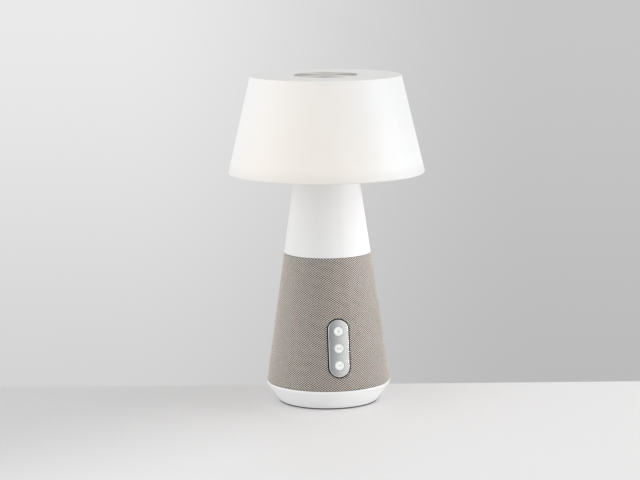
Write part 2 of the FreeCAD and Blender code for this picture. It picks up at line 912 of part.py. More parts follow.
def battery_cradle():
    """Upright trough with a floor and an end stop, open along its front for the cell."""
    bore = cell_radius + close_gap
    top = cell_top + tab_thickness + cradle_wall
    tube = disc(bore + cradle_wall, bulkhead_top, top)
    hollow = disc(bore, bulkhead_top + cradle_wall, top - cradle_wall)
    corner = Vector(-cradle_mouth / 2, -2 * bore, bulkhead_top + cradle_wall)
    mouth = Part.makeBox(cradle_mouth, 2 * bore, top - bulkhead_top - 2 * cradle_wall, corner)
    return tube.cut([hollow, mouth])


def battery_cell():
    """Round lithium cell with its raised pole."""
    shoulder = cell_top - cell_pole_height
    return turned(
        (0, cell_bottom),
        (cell_radius, cell_bottom, cell_edge),
        (cell_radius, shoulder, cell_edge),
        (cell_pole_radius, shoulder),
        (cell_pole_radius, cell_top, cell_edge / 2),
        (0, cell_top),
    )


def battery_tabs():
    """Nickel contact discs under and over the cell."""
    low = disc(tab_radius, cell_bottom - tab_thickness, cell_bottom)
    high = disc(cell_pole_radius, cell_top, cell_top + tab_thickness)
    return [low, high]


# ================================================================ panels let into the cloth
def panel_plate(width, length, height, turn):
    """Pill-shaped plate that follows the cone and stands proud of the cloth."""
    reach = length / 2 + panel_rim
    layer = cone_layer(height - reach, height + reach, -panel_proud, cloth_depth - glue_gap)
    plate = layer.common(on_wall(pill(width, length, -cutter_reach, cutter_reach), height, turn))
    spot = on_wall(Part.Vertex(0, 0, panel_proud), height, turn).Point
    outer = min(plate.Faces, key=lambda face: face.distToShape(Part.Vertex(spot))[0])
    return plate.makeFillet(panel_edge, outer.Edges)


def panel_gasket(width, length, height, turn):
    """Rubber ring in the gap between a panel and the cloth's cut edge."""
    reach = length / 2 + gasket_width + panel_rim
    layer = cone_layer(height - reach, height + reach, gasket_sink, cloth_depth - glue_gap)
    grown = 2 * gasket_width - glue_gap
    outer = pill(width + grown, length + grown, -cutter_reach, cutter_reach)
    inner = pill(width + glue_gap, length + glue_gap, -cutter_reach, cutter_reach)
    return layer.common(on_wall(outer.cut(inner), height, turn))


def panel_boss(y):
    """Boss behind a panel, with the pilot hole that takes its board's screw."""
    return disc(panel_boss_radius, -panel_board_depth, -cloth_thickness / 2, 0, y)


def panel_pilot(y):
    return disc(pilot(small_screw), -panel_board_depth, -cloth_depth - hole_spare, 0, y)


def panel_board(width, length, bosses):
    """Small board that is screwed to the bosses behind a panel."""
    back = -panel_board_depth - board_thickness
    board = pill(width, length, back, -panel_board_depth)
    return board.cut([disc(clear(small_screw), back, -panel_board_depth, 0, y) for y in bosses])


def bossed(plate, bosses, holes, height, turn):
    """A panel's plate with its bosses on, and its holes and the bosses' pilots cut."""
    plate = joined(plate, [on_wall(panel_boss(y), height, turn) for y in bosses])
    cuts = holes + [panel_pilot(y) for y in bosses]
    return plate.cut([on_wall(cut, height, turn) for cut in cuts])


def button_panel():
    """Panel with a hole for each key, and a boss between each two keys."""
    plate = panel_plate(key_panel_width, key_panel_length, key_panel_height, FRONT)
    bore = key_radius + key_side_gap
    holes = [disc(bore, -panel_rim, panel_rim, 0, y) for y in key_places.values()]
    return bossed(plate, key_bosses, holes, key_panel_height, FRONT)


def key_symbol(name):
    """Sunk sign on a key, drawn at the origin: a plus, a minus, or a triangle with two bars."""
    low = -symbol_depth
    level = block(symbol_length, symbol_width, 1, 0, 0, low)
    if name == "minus":
        return level
    if name == "plus":
        return joined(level, [block(symbol_width, symbol_length, 1, 0, 0, low)])
    half, tail, tip = play_sign["half_height"], play_sign["tail"], play_sign["tip"]
    points = [Vector(tail, -half, low), Vector(tip, 0, low), Vector(tail, half, low)]
    triangle = Part.Face(Part.makePolygon(points + points[:1])).extrude(Vector(0, 0, 1))
    bars = [block(play_sign["bar_width"], 2 * half, 1, x, 0, low) for x in play_sign["bars"]]
    return Part.makeCompound([triangle] + bars)


def button(name):
    """Key cap with a flange that keeps it behind the panel, and a post that works its switch."""
    top = panel_proud + key_proud
    back = cloth_depth + key_flange_radius**2 / (2 * body_radius(key_panel_height)) + close_gap
    low = -back - key_flange_thickness
    tip = switch_height - panel_board_depth - key_post_entry
    cap = turned(
        (0, tip),
        (key_post_radius, tip),
        (key_post_radius, low),
        (key_flange_radius, low),
        (key_flange_radius, -back),
        (key_radius, -back),
        (key_radius, top, key_edge),
        (0, top),
    )
    symbol = key_symbol(name)
    symbol.translate(Vector(0, 0, top))
    cap = cap.cut(symbol)
    cap.translate(Vector(0, key_places[name], 0))
    return on_wall(cap, key_panel_height, FRONT)


def key_board():
    return on_wall(panel_board(key_board_width, key_board_length, key_bosses), key_panel_height, FRONT)


def key_switches():
    """Push switches on the key board, one under each key's post."""
    found = []
    top = switch_height - panel_board_depth
    for y in key_places.values():
        body = block(switch_side, switch_side, switch_height, 0, y, -panel_board_depth)
        bore = disc(key_post_radius + key_side_gap, top - switch_bore_depth, top, 0, y)
        found.append(on_wall(body.cut(bore), key_panel_height, FRONT))
    return found


def panel_screws():
    """Identical screws that hold each small board to the bosses behind its panel."""
    seat = -panel_board_depth - board_thickness
    length = board_thickness + panel_board_depth - cloth_depth - panel_screw_tip
    screws = {y: screw(small_screw, length, 0, y, seat) for y in key_bosses + port_bosses}
    front = [on_wall(screws[y], key_panel_height, FRONT) for y in key_bosses]
    return front + [on_wall(screws[y], port_panel_height, REAR) for y in port_bosses]


def port_panel():
    """Panel with the socket's mouth, the slider's slot and the microphone's hole."""
    plate = panel_plate(port_panel_width, port_panel_length, port_panel_height, REAR)
    mouth = (socket_width + loose_gap, socket_thickness + loose_gap)
    slot = (slider_width + slider_travel + 2 * loose_gap, slider_thickness + 2 * key_side_gap)
    holes = [
        rounded_box(*mouth, mouth[1] / 2, -panel_rim, panel_rim, socket_offset),
        rounded_box(*slot, slider_slot_rounding, -panel_rim, panel_rim, slider_offset),
        disc(microphone_hole_radius, -panel_rim, panel_rim, 0, microphone_offset),
    ]
    return bossed(plate, port_bosses, holes, port_panel_height, REAR)


def port_board():
    return on_wall(panel_board(port_board_width, port_board_length, port_bosses), port_panel_height, REAR)


def usb_socket():
    """Charging socket that stands on the port board: a shell, its floor and its tongue."""
    low, high = -panel_board_depth, panel_proud - socket_sink
    floor = low + socket_floor
    inner_width, inner_thickness = socket_width - 2 * socket_wall, socket_thickness - 2 * socket_wall
    shell = rounded_box(socket_width, socket_thickness, socket_thickness / 2, low, high, socket_offset)
    mouth = rounded_box(inner_width, inner_thickness, inner_thickness / 2, floor, high, socket_offset)
    root = floor - tongue_root
    tongue = block(tongue_width, tongue_thickness, high - tongue_root - floor, 0, socket_offset, root)
    return on_wall(joined(shell.cut(mouth), [tongue]), port_panel_height, REAR)


def power_switch():
    """Slide switch body with the slot that guides its slider."""
    low = -panel_board_depth
    top = low + power_switch_height
    body = block(power_switch_width, power_switch_thickness, power_switch_height, 0, slider_offset, low)
    width = slider_stem_width + slider_travel + 2 * key_side_gap
    depth = slider_stem_thickness + 2 * key_side_gap
    slot = block(width, depth, slider_seat_depth, 0, slider_offset, top - slider_seat_depth)
    return on_wall(body.cut(slot), port_panel_height, REAR)


def power_slider():
    """Knob in the panel's slot, at the off end of its travel."""
    x = -slider_travel / 2
    seat = -panel_board_depth + power_switch_height - slider_seat_depth + key_side_gap
    low, high = -cloth_depth, panel_proud + slider_proud
    length = low - seat + slider_stem_root
    stem = block(slider_stem_width, slider_stem_thickness, length, x, slider_offset, seat)
    knob = block(slider_width, slider_thickness, high - low, x, slider_offset, low)
    edges = [e for e in knob.Edges if abs(e.CenterOfMass.z - high) < 1e-6]
    knob = knob.makeFillet(slider_edge, edges)
    return on_wall(joined(knob, [stem]), port_panel_height, REAR)


def microphone():
    width, depth, height = microphone_size
    low = -panel_board_depth
    body = block(width, depth, height, 0, microphone_offset, low)
    port = disc(microphone_port_radius, low + height / 2, low + height, 0, microphone_offset)
    return on_wall(body.cut(port), port_panel_height, REAR)


# ================================================================ lamp head
def shade_screw_places():
    return on_circle(shade_screw_circle, 3, 90)


def shade():
    """Opal shade: a flared wall, a flat roof, and a thicker hub with a recess for the disc."""
    across = shade_wall * math.sqrt(1 + shade_slope**2)
    ceiling = shade_top - shade_wall
    ceiling_radius = shade_top_radius + shade_slope * shade_wall - across
    body = turned(
        (hub_bore, hub_bottom),
        (hub_radius, hub_bottom, shade_edges["hub"]),
        (hub_radius + hub_flare, ceiling, shade_edges["ceiling"]),
        (ceiling_radius, ceiling, shade_edges["ceiling"]),
        (shade_bottom_radius - across, shade_bottom, shade_edges["inner_rim"]),
        (shade_bottom_radius, shade_bottom, shade_edges["rim"]),
        (shade_top_radius, shade_top, shade_edges["roof"]),
        (disc_radius + close_gap, shade_top, shade_edges["recess"]),
        (disc_radius + close_gap, recess_floor),
        (hub_bore, recess_floor),
    )
    neck = sunk_screw["neck"] + glue_gap
    return body.cut([disc(neck, hub_bottom, recess_floor, x, y) for x, y in shade_screw_places()])


def clamp_ring():
    """Steel washer that spreads the three screws' grip over the hub."""
    head, neck = sunk_screw["head"] + glue_gap, sunk_screw["neck"] + glue_gap
    washer = ring(disc_radius - clamp_inset, clamp_bore, recess_floor, disc_bottom)
    seats = [Vector(x, y, recess_floor) for x, y in shade_screw_places()]
    return washer.cut([Part.makeCone(neck, head, clamp_thickness, seat) for seat in seats])


def shade_screws():
    """Countersunk screws through the clamp ring and the hub into the lamp post."""
    head, neck, shank = sunk_screw["head"], sunk_screw["neck"], large_screw["shank"]
    low = top_flange_bottom - shade_boss_length + hole_spare
    body = turned(
        (0, low),
        (shank, low),
        (shank, recess_floor),
        (neck, recess_floor),
        (head, disc_bottom),
        (0, disc_bottom),
    )
    length, width, depth = sunk_screw["slot_length"], sunk_screw["slot_width"], sunk_screw["slot_depth"]
    face = disc_bottom - depth
    body = body.cut([block(width, length, depth, 0, 0, face), block(length, width, depth, 0, 0, face)])
    return [body.translated(Vector(x, y, 0)) for x, y in shade_screw_places()]


def touch_disc():
    """Metal disc, let into the roof, that senses a finger."""
    return turned(
        (0, disc_bottom),
        (disc_radius, disc_bottom),
        (disc_radius, overall_height, disc_edge),
        (0, overall_height),
    )


def lamp_post():
    """White post that stands on the neck and carries the shade on its upper flange."""
    post = turned(
        (post_bore, neck_top),
        (post_flange_radius, neck_top),
        (post_flange_radius, neck_top + post_flange_thickness, post_edge),
        (post_tube_radius, neck_top + post_flange_thickness, post_edge),
        (post_tube_radius, top_flange_bottom),
        (top_flange_radius, top_flange_bottom, top_flange_edge),
        (top_flange_radius, hub_bottom),
        (sensor_board_radius + loose_gap, hub_bottom),
        (sensor_board_radius + loose_gap, sensor_board_bottom),
        (post_bore, sensor_board_bottom),
    )
    tip = neck_ceiling + flange_thickness + bulkhead_thickness + thread_depth
    high = tip + post_boss_spare
    bosses = [disc(post_boss_radius, neck_top, high, x, y) for x, y in post_screw_places()]
    low = top_flange_bottom - shade_boss_length
    bosses += [disc(post_boss_radius, low, top_flange_bottom, x, y) for x, y in shade_screw_places()]
    cuts = [disc(post_bore, neck_top, sensor_board_bottom)]
    cuts += [disc(pilot(large_screw), neck_top, tip + hole_spare, x, y) for x, y in post_screw_places()]
    cuts += [disc(pilot(large_screw), low, hub_bottom, x, y) for x, y in shade_screw_places()]
    return joined(post, bosses).cut(cuts)


def strip_middle():
    return (neck_top + top_flange_bottom) / 2 + strip_raise


def led_strip():
    inner = post_tube_radius + glue_gap
    middle = strip_middle()
    return ring(inner + strip_thickness, inner, middle - strip_height / 2, middle + strip_height / 2)


def led_chips():
    """Lamps spaced round the strip, facing outwards."""
    width, depth, height = led_size
    near = post_tube_radius + 2 * glue_gap + strip_thickness
    chip = block(depth, width, height, near + depth / 2, 0, strip_middle() - height / 2)
    turns = [360.0 * i / led_count for i in range(led_count)]
    return [chip.rotated(Vector(0, 0, 0), Vector(0, 0, 1), turn) for turn in turns]


def led_diffuser():
    """Opal sleeve round the lamps, between the post's two flanges."""
    low = neck_top + post_flange_thickness + glue_gap
    return ring(diffuser_radius, diffuser_radius - diffuser_wall, low, top_flange_bottom - glue_gap)


def touch_board():
    return disc(sensor_board_radius, sensor_board_bottom, sensor_board_bottom + sensor_board_thickness)


def touch_spring():
    """Coil spring that joins the sensor board to the disc's underside."""
    low = sensor_board_bottom + sensor_board_thickness + contact_wire_radius + glue_gap
    rise = disc_bottom - contact_wire_radius - glue_gap - low
    count = points_per_turn * contact_spring_turns
    points = []
    for i in range(count + 1):
        angle = 2 * math.pi * i / points_per_turn
        x, y = contact_spring_radius * math.cos(angle), contact_spring_radius * math.sin(angle)
        points.append((x, y, low + rise * i / count))
    return lead(points, contact_wire_radius)


# ================================================================ leads
def board_socket_top(name):
    """Point on top of a socket of the main board, where its lead leaves."""
    x, y = socket_places[name]
    return x, y, board_top + socket_size[2] + glue_gap


def down_lead(name, start):
    """Lead from the neck, down beside the driver and into its socket on the main board."""
    socket = board_socket_top(name)
    x, y = lead_place(bulkhead_lead_circle, name)
    outer = lead_place(baffle_lead_circle(), name)
    return lead(
        start
        + [
            (x, y, bulkhead_top + 8),
            (x, y, cloth_top - 10),
            (outer[0], outer[1], ledge_top + 6),
            (outer[0], outer[1], baffle_bottom - 12),
            (socket[0], socket[1], socket[2] + 14),
            socket,
        ],
        lead_radius,
    )


def battery_lead():
    """From the cell's upper contact, over the cradle and down to the board."""
    top = cell_top + tab_thickness + cradle_wall + glue_gap + lead_radius
    x, y = lead_place(cell_radius + cradle_wall + 5, "power")
    near = lead_place(cell_radius, "power")
    return down_lead("power", [(near[0], near[1], top), (x, y, top), (x, y, top - 25)])


def lamp_lead():
    """From the lamp post's bore down the neck to the board."""
    x, y = lead_place(cell_radius + cradle_wall + 5, "lamp")
    start = [(0, 0, sensor_board_bottom - glue_gap), (0, 0, neck_ceiling - 8), (x, y, cell_top - 5)]
    return down_lead("lamp", start)


def speaker_lead():
    """From the driver's leg down to the board."""
    x, y, z = board_socket_top("speaker")
    leg = math.radians(202.5)
    reach = (yoke_radius + basket_radius) / 2 + 3.5
    start = (reach * math.cos(leg), reach * math.sin(leg), (top_plate_top + basket_seat) / 2 - 2)
    return lead([start, (start[0], start[1], start[2] - 20), (x, y, z + 10), (x, y, z)], lead_radius)


def panel_leads():
    """Short leads from the two small boards to the main board."""
    found = []
    for name, height, turn in (("keys", key_panel_height, FRONT), ("port", port_panel_height, REAR)):
        back = -panel_board_depth - board_thickness - glue_gap
        start = on_wall(Part.Vertex(0, 0, back), height, turn).Point
        out = on_wall(Part.Vertex(0, 0, back - 7), height, turn).Point
        x, y, z = board_socket_top(name)
        found.append(lead([tuple(start), tuple(out), (x, y, z + 8), (x, y, z)], lead_radius))
    return found


# ================================================================ the whole object
def all_parts():
    key = (key_panel_width, key_panel_length, key_panel_height, FRONT)
    port = (port_panel_width, port_panel_length, port_panel_height, REAR)
    return {
        "foot_ring": foot_ring(),
        "base_ring": base_ring(),
        "base_plate": base_plate(),
        "base_screws": base_screws(),
        "ballast": ballast(),
        "main_board": main_board(),
        "board_screws": board_screws(),
        "wireless_module": wireless_module(),
        "board_chips": board_chips(),
        "board_sockets": board_sockets(),
        "grille_frame": grille_frame(),
        "fabric_sleeve": fabric_sleeve(),
        "driver_baffle": driver_baffle(),
        "driver_screws": driver_screws(),
        "driver_gasket": driver_gasket(),
        "driver_basket": driver_basket(),
        "driver_steel": driver_steel(),
        "driver_magnet": driver_magnet(),
        "driver_spider": driver_spider(),
        "driver_surround": driver_surround(),
        "voice_coil": voice_coil(),
        "driver_cone": driver_cone(),
        "driver_dust_cap": driver_dust_cap(),
        "sound_deflector": sound_deflector(),
        "bulkhead": bulkhead(),
        "neck_shell": neck_shell(),
        "neck_screws": neck_screws(),
        "battery_cradle": battery_cradle(),
        "battery_cell": battery_cell(),
        "battery_tabs": battery_tabs(),
        "button_panel": button_panel(),
        "panel_gasket": panel_gasket(*key),
        "button_plus": button("plus"),
        "button_play": button("play"),
        "button_minus": button("minus"),
        "key_board": key_board(),
        "key_switches": key_switches(),
        "panel_screws": panel_screws(),
        "port_panel": port_panel(),
        "port_gasket": panel_gasket(*port),
        "port_board": port_board(),
        "usb_socket": usb_socket(),
        "power_switch": power_switch(),
        "power_slider": power_slider(),
        "microphone": microphone(),
        "lamp_post": lamp_post(),
        "led_strip": led_strip(),
        "led_chips": led_chips(),
        "led_diffuser": led_diffuser(),
        "touch_board": touch_board(),
        "touch_spring": touch_spring(),
        "shade": shade(),
        "clamp_ring": clamp_ring(),
        "shade_screws": shade_screws(),
        "touch_disc": touch_disc(),
        "battery_lead": battery_lead(),
        "lamp_lead": lamp_lead(),
        "speaker_lead": speaker_lead(),
        "panel_leads": panel_leads(),
    }


def main():
    os.makedirs("parts", exist_ok=True)
    for name, shape in all_parts().items():
        if isinstance(shape, list):
            shape = Part.makeCompound(shape)
        assert shape.isValid() and shape.Volume > 0, name
        shape.exportStep(f"parts/{name}.step")


main()
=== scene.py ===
"""Finished surfaces, materials, table and light for the cordless lamp with a loudspeaker in its foot.

Metres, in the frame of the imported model: +Z up, the key panel faces -Y, the charging panel +Y.
Outside pieces are surfaces worked out here with numpy, and stand in for their plain CAD nodes.
The pieces inside keep their CAD shape and get a material.
"""

import math

import bmesh
import bpy
import numpy as np
from mathutils import Matrix, Vector
from mathutils.geometry import delaunay_2d_cdt


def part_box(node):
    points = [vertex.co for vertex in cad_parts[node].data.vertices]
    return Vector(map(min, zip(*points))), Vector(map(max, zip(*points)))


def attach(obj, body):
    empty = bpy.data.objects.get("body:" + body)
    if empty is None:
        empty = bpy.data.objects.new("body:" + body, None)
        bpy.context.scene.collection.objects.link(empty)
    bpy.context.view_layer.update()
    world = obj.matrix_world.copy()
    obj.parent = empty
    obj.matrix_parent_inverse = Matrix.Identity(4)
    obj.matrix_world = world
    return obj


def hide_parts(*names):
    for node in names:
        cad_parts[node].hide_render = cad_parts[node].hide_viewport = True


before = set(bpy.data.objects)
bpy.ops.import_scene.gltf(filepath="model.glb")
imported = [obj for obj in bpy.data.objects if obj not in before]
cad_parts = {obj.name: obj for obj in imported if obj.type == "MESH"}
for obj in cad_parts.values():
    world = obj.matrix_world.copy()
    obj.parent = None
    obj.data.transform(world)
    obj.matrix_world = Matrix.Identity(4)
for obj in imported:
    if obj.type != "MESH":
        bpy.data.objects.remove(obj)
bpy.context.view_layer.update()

# ---------------------------------------------------------------- sizes read from the frame
mm = 0.001
per_metre = 1000.0
weld_gap = 2e-6
sleeve_low, sleeve_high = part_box("fabric_sleeve")
neck_low, neck_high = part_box("neck_shell")
shade_low, shade_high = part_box("shade")
disc_low, disc_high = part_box("touch_disc")
skirt_low, skirt_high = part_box("base_ring")
foot_low, foot_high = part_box("foot_ring")
post_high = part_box("lamp_post")[1]
diffuser_low, diffuser_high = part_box("led_diffuser")

# ---------------------------------------------------------------- sizes of the finish, as in the CAD
cone_angle = math.radians(8.17)
cone_tangent = math.tan(cone_angle)
cone_cosine = math.cos(cone_angle)
cone_sine = math.sin(cone_angle)
apex_distance = sleeve_high.x / cone_sine

key_panel = {"height": 51.6 * mm, "width": 16.8 * mm, "length": 46.8 * mm, "rear": False}
port_panel = {"height": 46.0 * mm, "width": 15.0 * mm, "length": 36.0 * mm, "rear": True}
panel_proud = 0.8 * mm
panel_depth = 0.9 * mm
panel_edge = 0.55 * mm
hole_edge = 0.2 * mm
seal_width = 0.9 * mm
plate_spacing = 0.8 * mm
switch_height = 6.0 * mm
key_pitch = 13.9 * mm
key_radius = 3.65 * mm
key_hole_radius = 3.8 * mm
key_flange = 4.4 * mm
key_proud = 0.45 * mm
sign_depth = 0.12 * mm
key_heights = {"plus": key_pitch, "play": 0.0, "minus": -key_pitch}
post_bore = 7.0 * mm

cloth_turn = 0.5 * mm
cloth_tuck = 0.85 * mm
cloth_thick = 0.3 * mm
cloth_spacing = 1.25 * mm
seam_width = 0.35 * mm
seam_depth = 0.25 * mm
seam_columns = np.array([-0.9, -0.45, -0.2, 0.2, 0.45, 0.9]) * mm
weave_cell = (2.5 * mm, 1.8 * mm)

# ---------------------------------------------------------------- camera, table and light
# Distances are in metres, angles in degrees, the lens and its sensor in millimetres.
camera_azimuth = -10.8
camera_distance = 1.7587
camera_height = 0.4127
camera_pitch = 9.02
camera_yaw = 0.195
camera_roll = -0.596
camera_lens = 121.54
camera_sensor = 36.0

table_near = -2.2
table_far = 0.0535
table_half_width = 2.4
table_thick = 0.03
table_edge = 0.002
# Painted shade on the table top: how dark it gets, and the span across which it fades towards the front
# right.
table_painted_shade_share = 0.76
table_painted_shade_until = -0.2
table_painted_light_from = 0.15

# Brightness of the surround by the side it is on, as seen from the camera.
light_in_front = 0.3
light_beside = 1.1
light_at_right = 1.2
light_at_left = 1.36
light_behind = 0.62
light_above = 0.86

# Display grey of the ground behind the lamp, with painted shade: darker to the right and downwards.
ground_high_left = 234
ground_high_right = 199
ground_low_left = 209
ground_low_right = 186

# How brightly the shade's wall glows with painted light and the lamps' sleeve glows, and the azimuth of the
# shade's painted warm side.
shade_painted_glow = 0.38
diffuser_glow = 1.2
painted_warm_azimuth = -27

no_fours = np.zeros((0, 4), dtype=np.int64)
no_threes = np.zeros((0, 3), dtype=np.int64)


# ================================================================ meshes
def quads(rows, columns, close_rows=False, close_columns=False):
    """Quads of a grid of points numbered row by row; either way round may close on itself."""
    row, column = np.meshgrid(
        np.arange(rows if close_rows else rows - 1),
        np.arange(columns if close_columns else columns - 1),
        indexing="ij",
    )
    below, beside = (row + 1) % rows, (column + 1) % columns
    corners = [(row, column), (row, beside), (below, beside), (below, column)]
    return np.stack([r * columns + c for r, c in corners], axis=-1).reshape(-1, 4)


def volume(points, faces):
    """Signed volume: the sum, over each face's fan of triangles, of a . (b x c) / 6."""
    total = 0.0
    for k in range(1, faces.shape[1] - 1):
        a, b, c = points[faces[:, 0]], points[faces[:, k]], points[faces[:, k + 1]]
        total += np.einsum("ij,ij->i", a, np.cross(b, c)).sum() / 6
    return total


def joined(*shells):
    """One (points, quads, triangles) from several."""
    points, fours, threes, start = [], [], [], 0
    for shell in shells:
        points.append(shell[0])
        fours.append(shell[1] + start)
        threes.append(shell[2] + start)
        start += len(shell[0])
    return np.concatenate(points), np.concatenate(fours), np.concatenate(threes)


def welded(shell, grain=1e-6):
    """The shell with points that lie within a micrometre of each other made one."""
    points, fours, threes = shell
    keys = np.round(points / grain).astype(np.int64)
    _, first, number = np.unique(keys, axis=0, return_index=True, return_inverse=True)
    number = number.reshape(-1)
    return points[first], number[fours], number[threes]


def outward(shell):
    """The closed shell turned, if need be, so that its faces point outwards."""
    points, fours, threes = shell
    total = 0.0
    for faces in (fours, threes):
        if len(faces):
            total += volume(points, faces)
    if total < 0:
        fours, threes = fours[:, ::-1], threes[:, ::-1]
    return points, fours, threes


def mend(mesh):
    """Merges points that lie within two micrometres of each other, then winds all faces alike,
    facing outwards."""
    work = bmesh.new()
    work.from_mesh(mesh)
    bmesh.ops.remove_doubles(work, verts=work.verts, dist=weld_gap)
    bmesh.ops.recalc_face_normals(work, faces=work.faces)
    work.to_mesh(mesh)
    work.free()


def make_piece(name, shell, material, body, replaced=(), slot=None, sharp=35.0, loose=False):
    """Blender object for a shell, smooth but for edges sharper than an angle, riding on a body.
    A loose shell is made of strips that still have to be sewn together."""
    points, fours, threes = shell
    mesh = bpy.data.meshes.new(name)
    mesh.vertices.add(len(points))
    mesh.vertices.foreach_set("co", np.ascontiguousarray(points, dtype=np.float32).ravel())
    corners = np.concatenate([fours.ravel(), threes.ravel()]).astype(np.int32)
    sizes = np.concatenate([np.full(len(fours), 4), np.full(len(threes), 3)])
    mesh.loops.add(len(corners))
    mesh.loops.foreach_set("vertex_index", corners)
    mesh.polygons.add(len(sizes))
    starts = np.concatenate([[0], np.cumsum(sizes)[:-1]]).astype(np.int32)
    mesh.polygons.foreach_set("loop_start", starts)
    mesh.update(calc_edges=True)
    if loose:
        mend(mesh)
    mesh.polygons.foreach_set("use_smooth", np.ones(len(mesh.polygons), dtype=bool))
    mesh.set_sharp_from_angle(angle=math.radians(sharp))
    mesh.materials.append(material)
    piece = bpy.data.objects.new(name, mesh)
    bpy.context.scene.collection.objects.link(piece)
    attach(piece, body)
    if replaced:
        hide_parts(*replaced)
    return piece


# ================================================================ outlines and turned shells
def outline(corners, step=9.0):
    """Closed outline from (x, y, rounding) corners: at each, the arc that touches both its sides."""
    found = []
    count = len(corners)
    for i, (x, y, radius) in enumerate(corners):
        corner = np.array([x, y])
        back = np.array(corners[i - 1][:2]) - corner
        ahead = np.array(corners[(i + 1) % count][:2]) - corner
        back, ahead = back / np.linalg.norm(back), ahead / np.linalg.norm(ahead)
        half = math.acos(np.clip(back @ ahead, -1, 1)) / 2
        if radius == 0 or half > math.radians(89.5):
            found.append(corner[None])
            continue
        middle = back + ahead
        centre = corner + middle / np.linalg.norm(middle) * radius / math.sin(half)
        first = corner + back * radius / math.tan(half) - centre
        last = corner + ahead * radius / math.tan(half) - centre
        sweep = math.atan2(first[0] * last[1] - first[1] * last[0], first @ last)
        turns = np.linspace(0, sweep, max(3, int(abs(math.degrees(sweep)) / step) + 2))
        cos, sin = np.cos(turns), np.sin(turns)
        arc = np.stack([first[0] * cos - first[1] * sin, first[0] * sin + first[1] * cos], axis=1)
        found.append(arc + centre)
    return np.concatenate(found)


def turned(profile, segments=224):
    """Shell of revolution: each (radius, height) of a closed profile goes to
    (radius cos t, radius sin t, height). Points on the axis become one pole."""
    t = np.linspace(0, 2 * np.pi, segments, endpoint=False)
    radius, height = profile[:, 0], profile[:, 1]
    points = np.stack(
        [np.outer(radius, np.cos(t)), np.outer(radius, np.sin(t)), np.outer(height, np.ones(segments))],
        axis=-1,
    ).reshape(-1, 3)
    faces = quads(len(profile), segments, close_rows=True, close_columns=True)
    points, faces, _ = welded((points, faces, no_threes))
    ordered = np.sort(faces, axis=1)
    doubled = (ordered[:, 1:] == ordered[:, :-1]).sum(axis=1)
    fours = faces[doubled == 0]
    threes = [dict.fromkeys(face) for face in faces[doubled == 1].tolist()]
    threes = np.array([list(face) for face in threes], dtype=np.int64).reshape(-1, 3)
    return outward((points, fours, threes))


def dense(start, stop, gap):
    """Even values from start to stop, about a gap apart."""
    return np.linspace(start, stop, max(2, int(abs(stop - start) / gap) + 1))


# ================================================================ the body's cone and the panels on it
def cone_radius(z, proud=0.0):
    """Radius of the cone at a height, raised square to its wall by proud."""
    return sleeve_high.x - (z - sleeve_low.z) * cone_tangent + proud / cone_cosine


def on_cone(x, y, proud, panel):
    """Points of the cone, raised by proud, that lie at x across and y up the slope from a panel's
    centre. Height follows from y by repeated substitution, since the wall curves away with x."""
    centre = panel["height"]
    near = cone_radius(centre)
    z = centre + y * cone_cosine
    for _ in range(8):
        depth = np.sqrt(np.maximum(cone_radius(z, proud) ** 2 - x**2, 0))
        z = centre + (y - cone_sine * (near - depth)) / cone_cosine
    points = np.stack([x, -depth, z], axis=-1)
    return points * [-1, -1, 1] if panel["rear"] else points


def on_panel(x, y, out, panel):
    """Points in a panel's own flat frame: x across, y up the slope, out square to the wall."""
    near = cone_radius(panel["height"])
    points = np.stack(
        [x, -near + y * cone_sine - out * cone_cosine, panel["height"] + y * cone_cosine + out * cone_sine],
        axis=-1,
    )
    return points * [-1, -1, 1] if panel["rear"] else points


def rounded_path(width, height, radius, centre=(0.0, 0.0), steps=14, side=0):
    """Rounded rectangle as the centres of its rounding and the ways out from them, so that the
    outline at any offset is centre + (radius + offset) * way, always with as many points."""
    a, b = width / 2 - radius, height / 2 - radius
    quarter = np.linspace(0, np.pi / 2, steps + 1)
    centres, ways = [], []
    for i, (sx, sy) in enumerate([(1, 1), (-1, 1), (-1, -1), (1, -1)]):
        t = quarter + i * np.pi / 2
        centres.append(np.tile([sx * a, sy * b], (len(t), 1)))
        ways.append(np.stack([np.cos(t), np.sin(t)], axis=1))
    centres = np.concatenate(centres) + centre
    ways = np.concatenate(ways)
    if side:
        centres, ways = with_sides(centres, ways, steps + 1, side)
    points = centres + radius * ways
    keep = np.linalg.norm(points - np.roll(points, 1, axis=0), axis=1) > 1e-7
    return centres[keep], ways[keep], radius


def with_sides(centres, ways, corner, side):
    """Adds even points along the straight sides between one corner's arc and the next."""
    new_centres, new_ways = [], []
    for i in range(4):
        own = slice(i * corner, (i + 1) * corner)
        new_centres.append(centres[own])
        new_ways.append(ways[own])
        here, there = centres[own][-1], centres[((i + 1) * corner) % len(centres)]
        share = np.linspace(0, 1, side + 2)[1:-1, None]
        if np.linalg.norm(there - here) > 1e-6:
            new_centres.append(here + (there - here) * share)
            new_ways.append(np.tile(ways[own][-1], (side, 1)))
    return np.concatenate(new_centres), np.concatenate(new_ways)


def at_offset(path, offset):
    """Points of a path grown by an offset."""
    centres, ways, radius = path
    return centres + (radius + offset) * ways


def distance_to_box(x, y, centre, half_width, half_height, radius=0.0):
    """Signed distance to a rounded rectangle: negative inside."""
    dx = np.abs(x - centre[0]) - half_width + radius
    dy = np.abs(y - centre[1]) - half_height + radius
    outside = np.hypot(np.maximum(dx, 0), np.maximum(dy, 0))
    return outside + np.minimum(np.maximum(dx, dy), 0) - radius


def rim(path, steps, place):
    """Strip round a path through (offset, height) steps, each put in place by a function."""
    rings = []
    for offset, height in steps:
        ring = at_offset(path, offset)
        rings.append(place(ring[:, 0], ring[:, 1], np.full(len(ring), height)))
    points = np.concatenate(rings)
    return points, quads(len(steps), len(path[0]), close_columns=True), no_threes


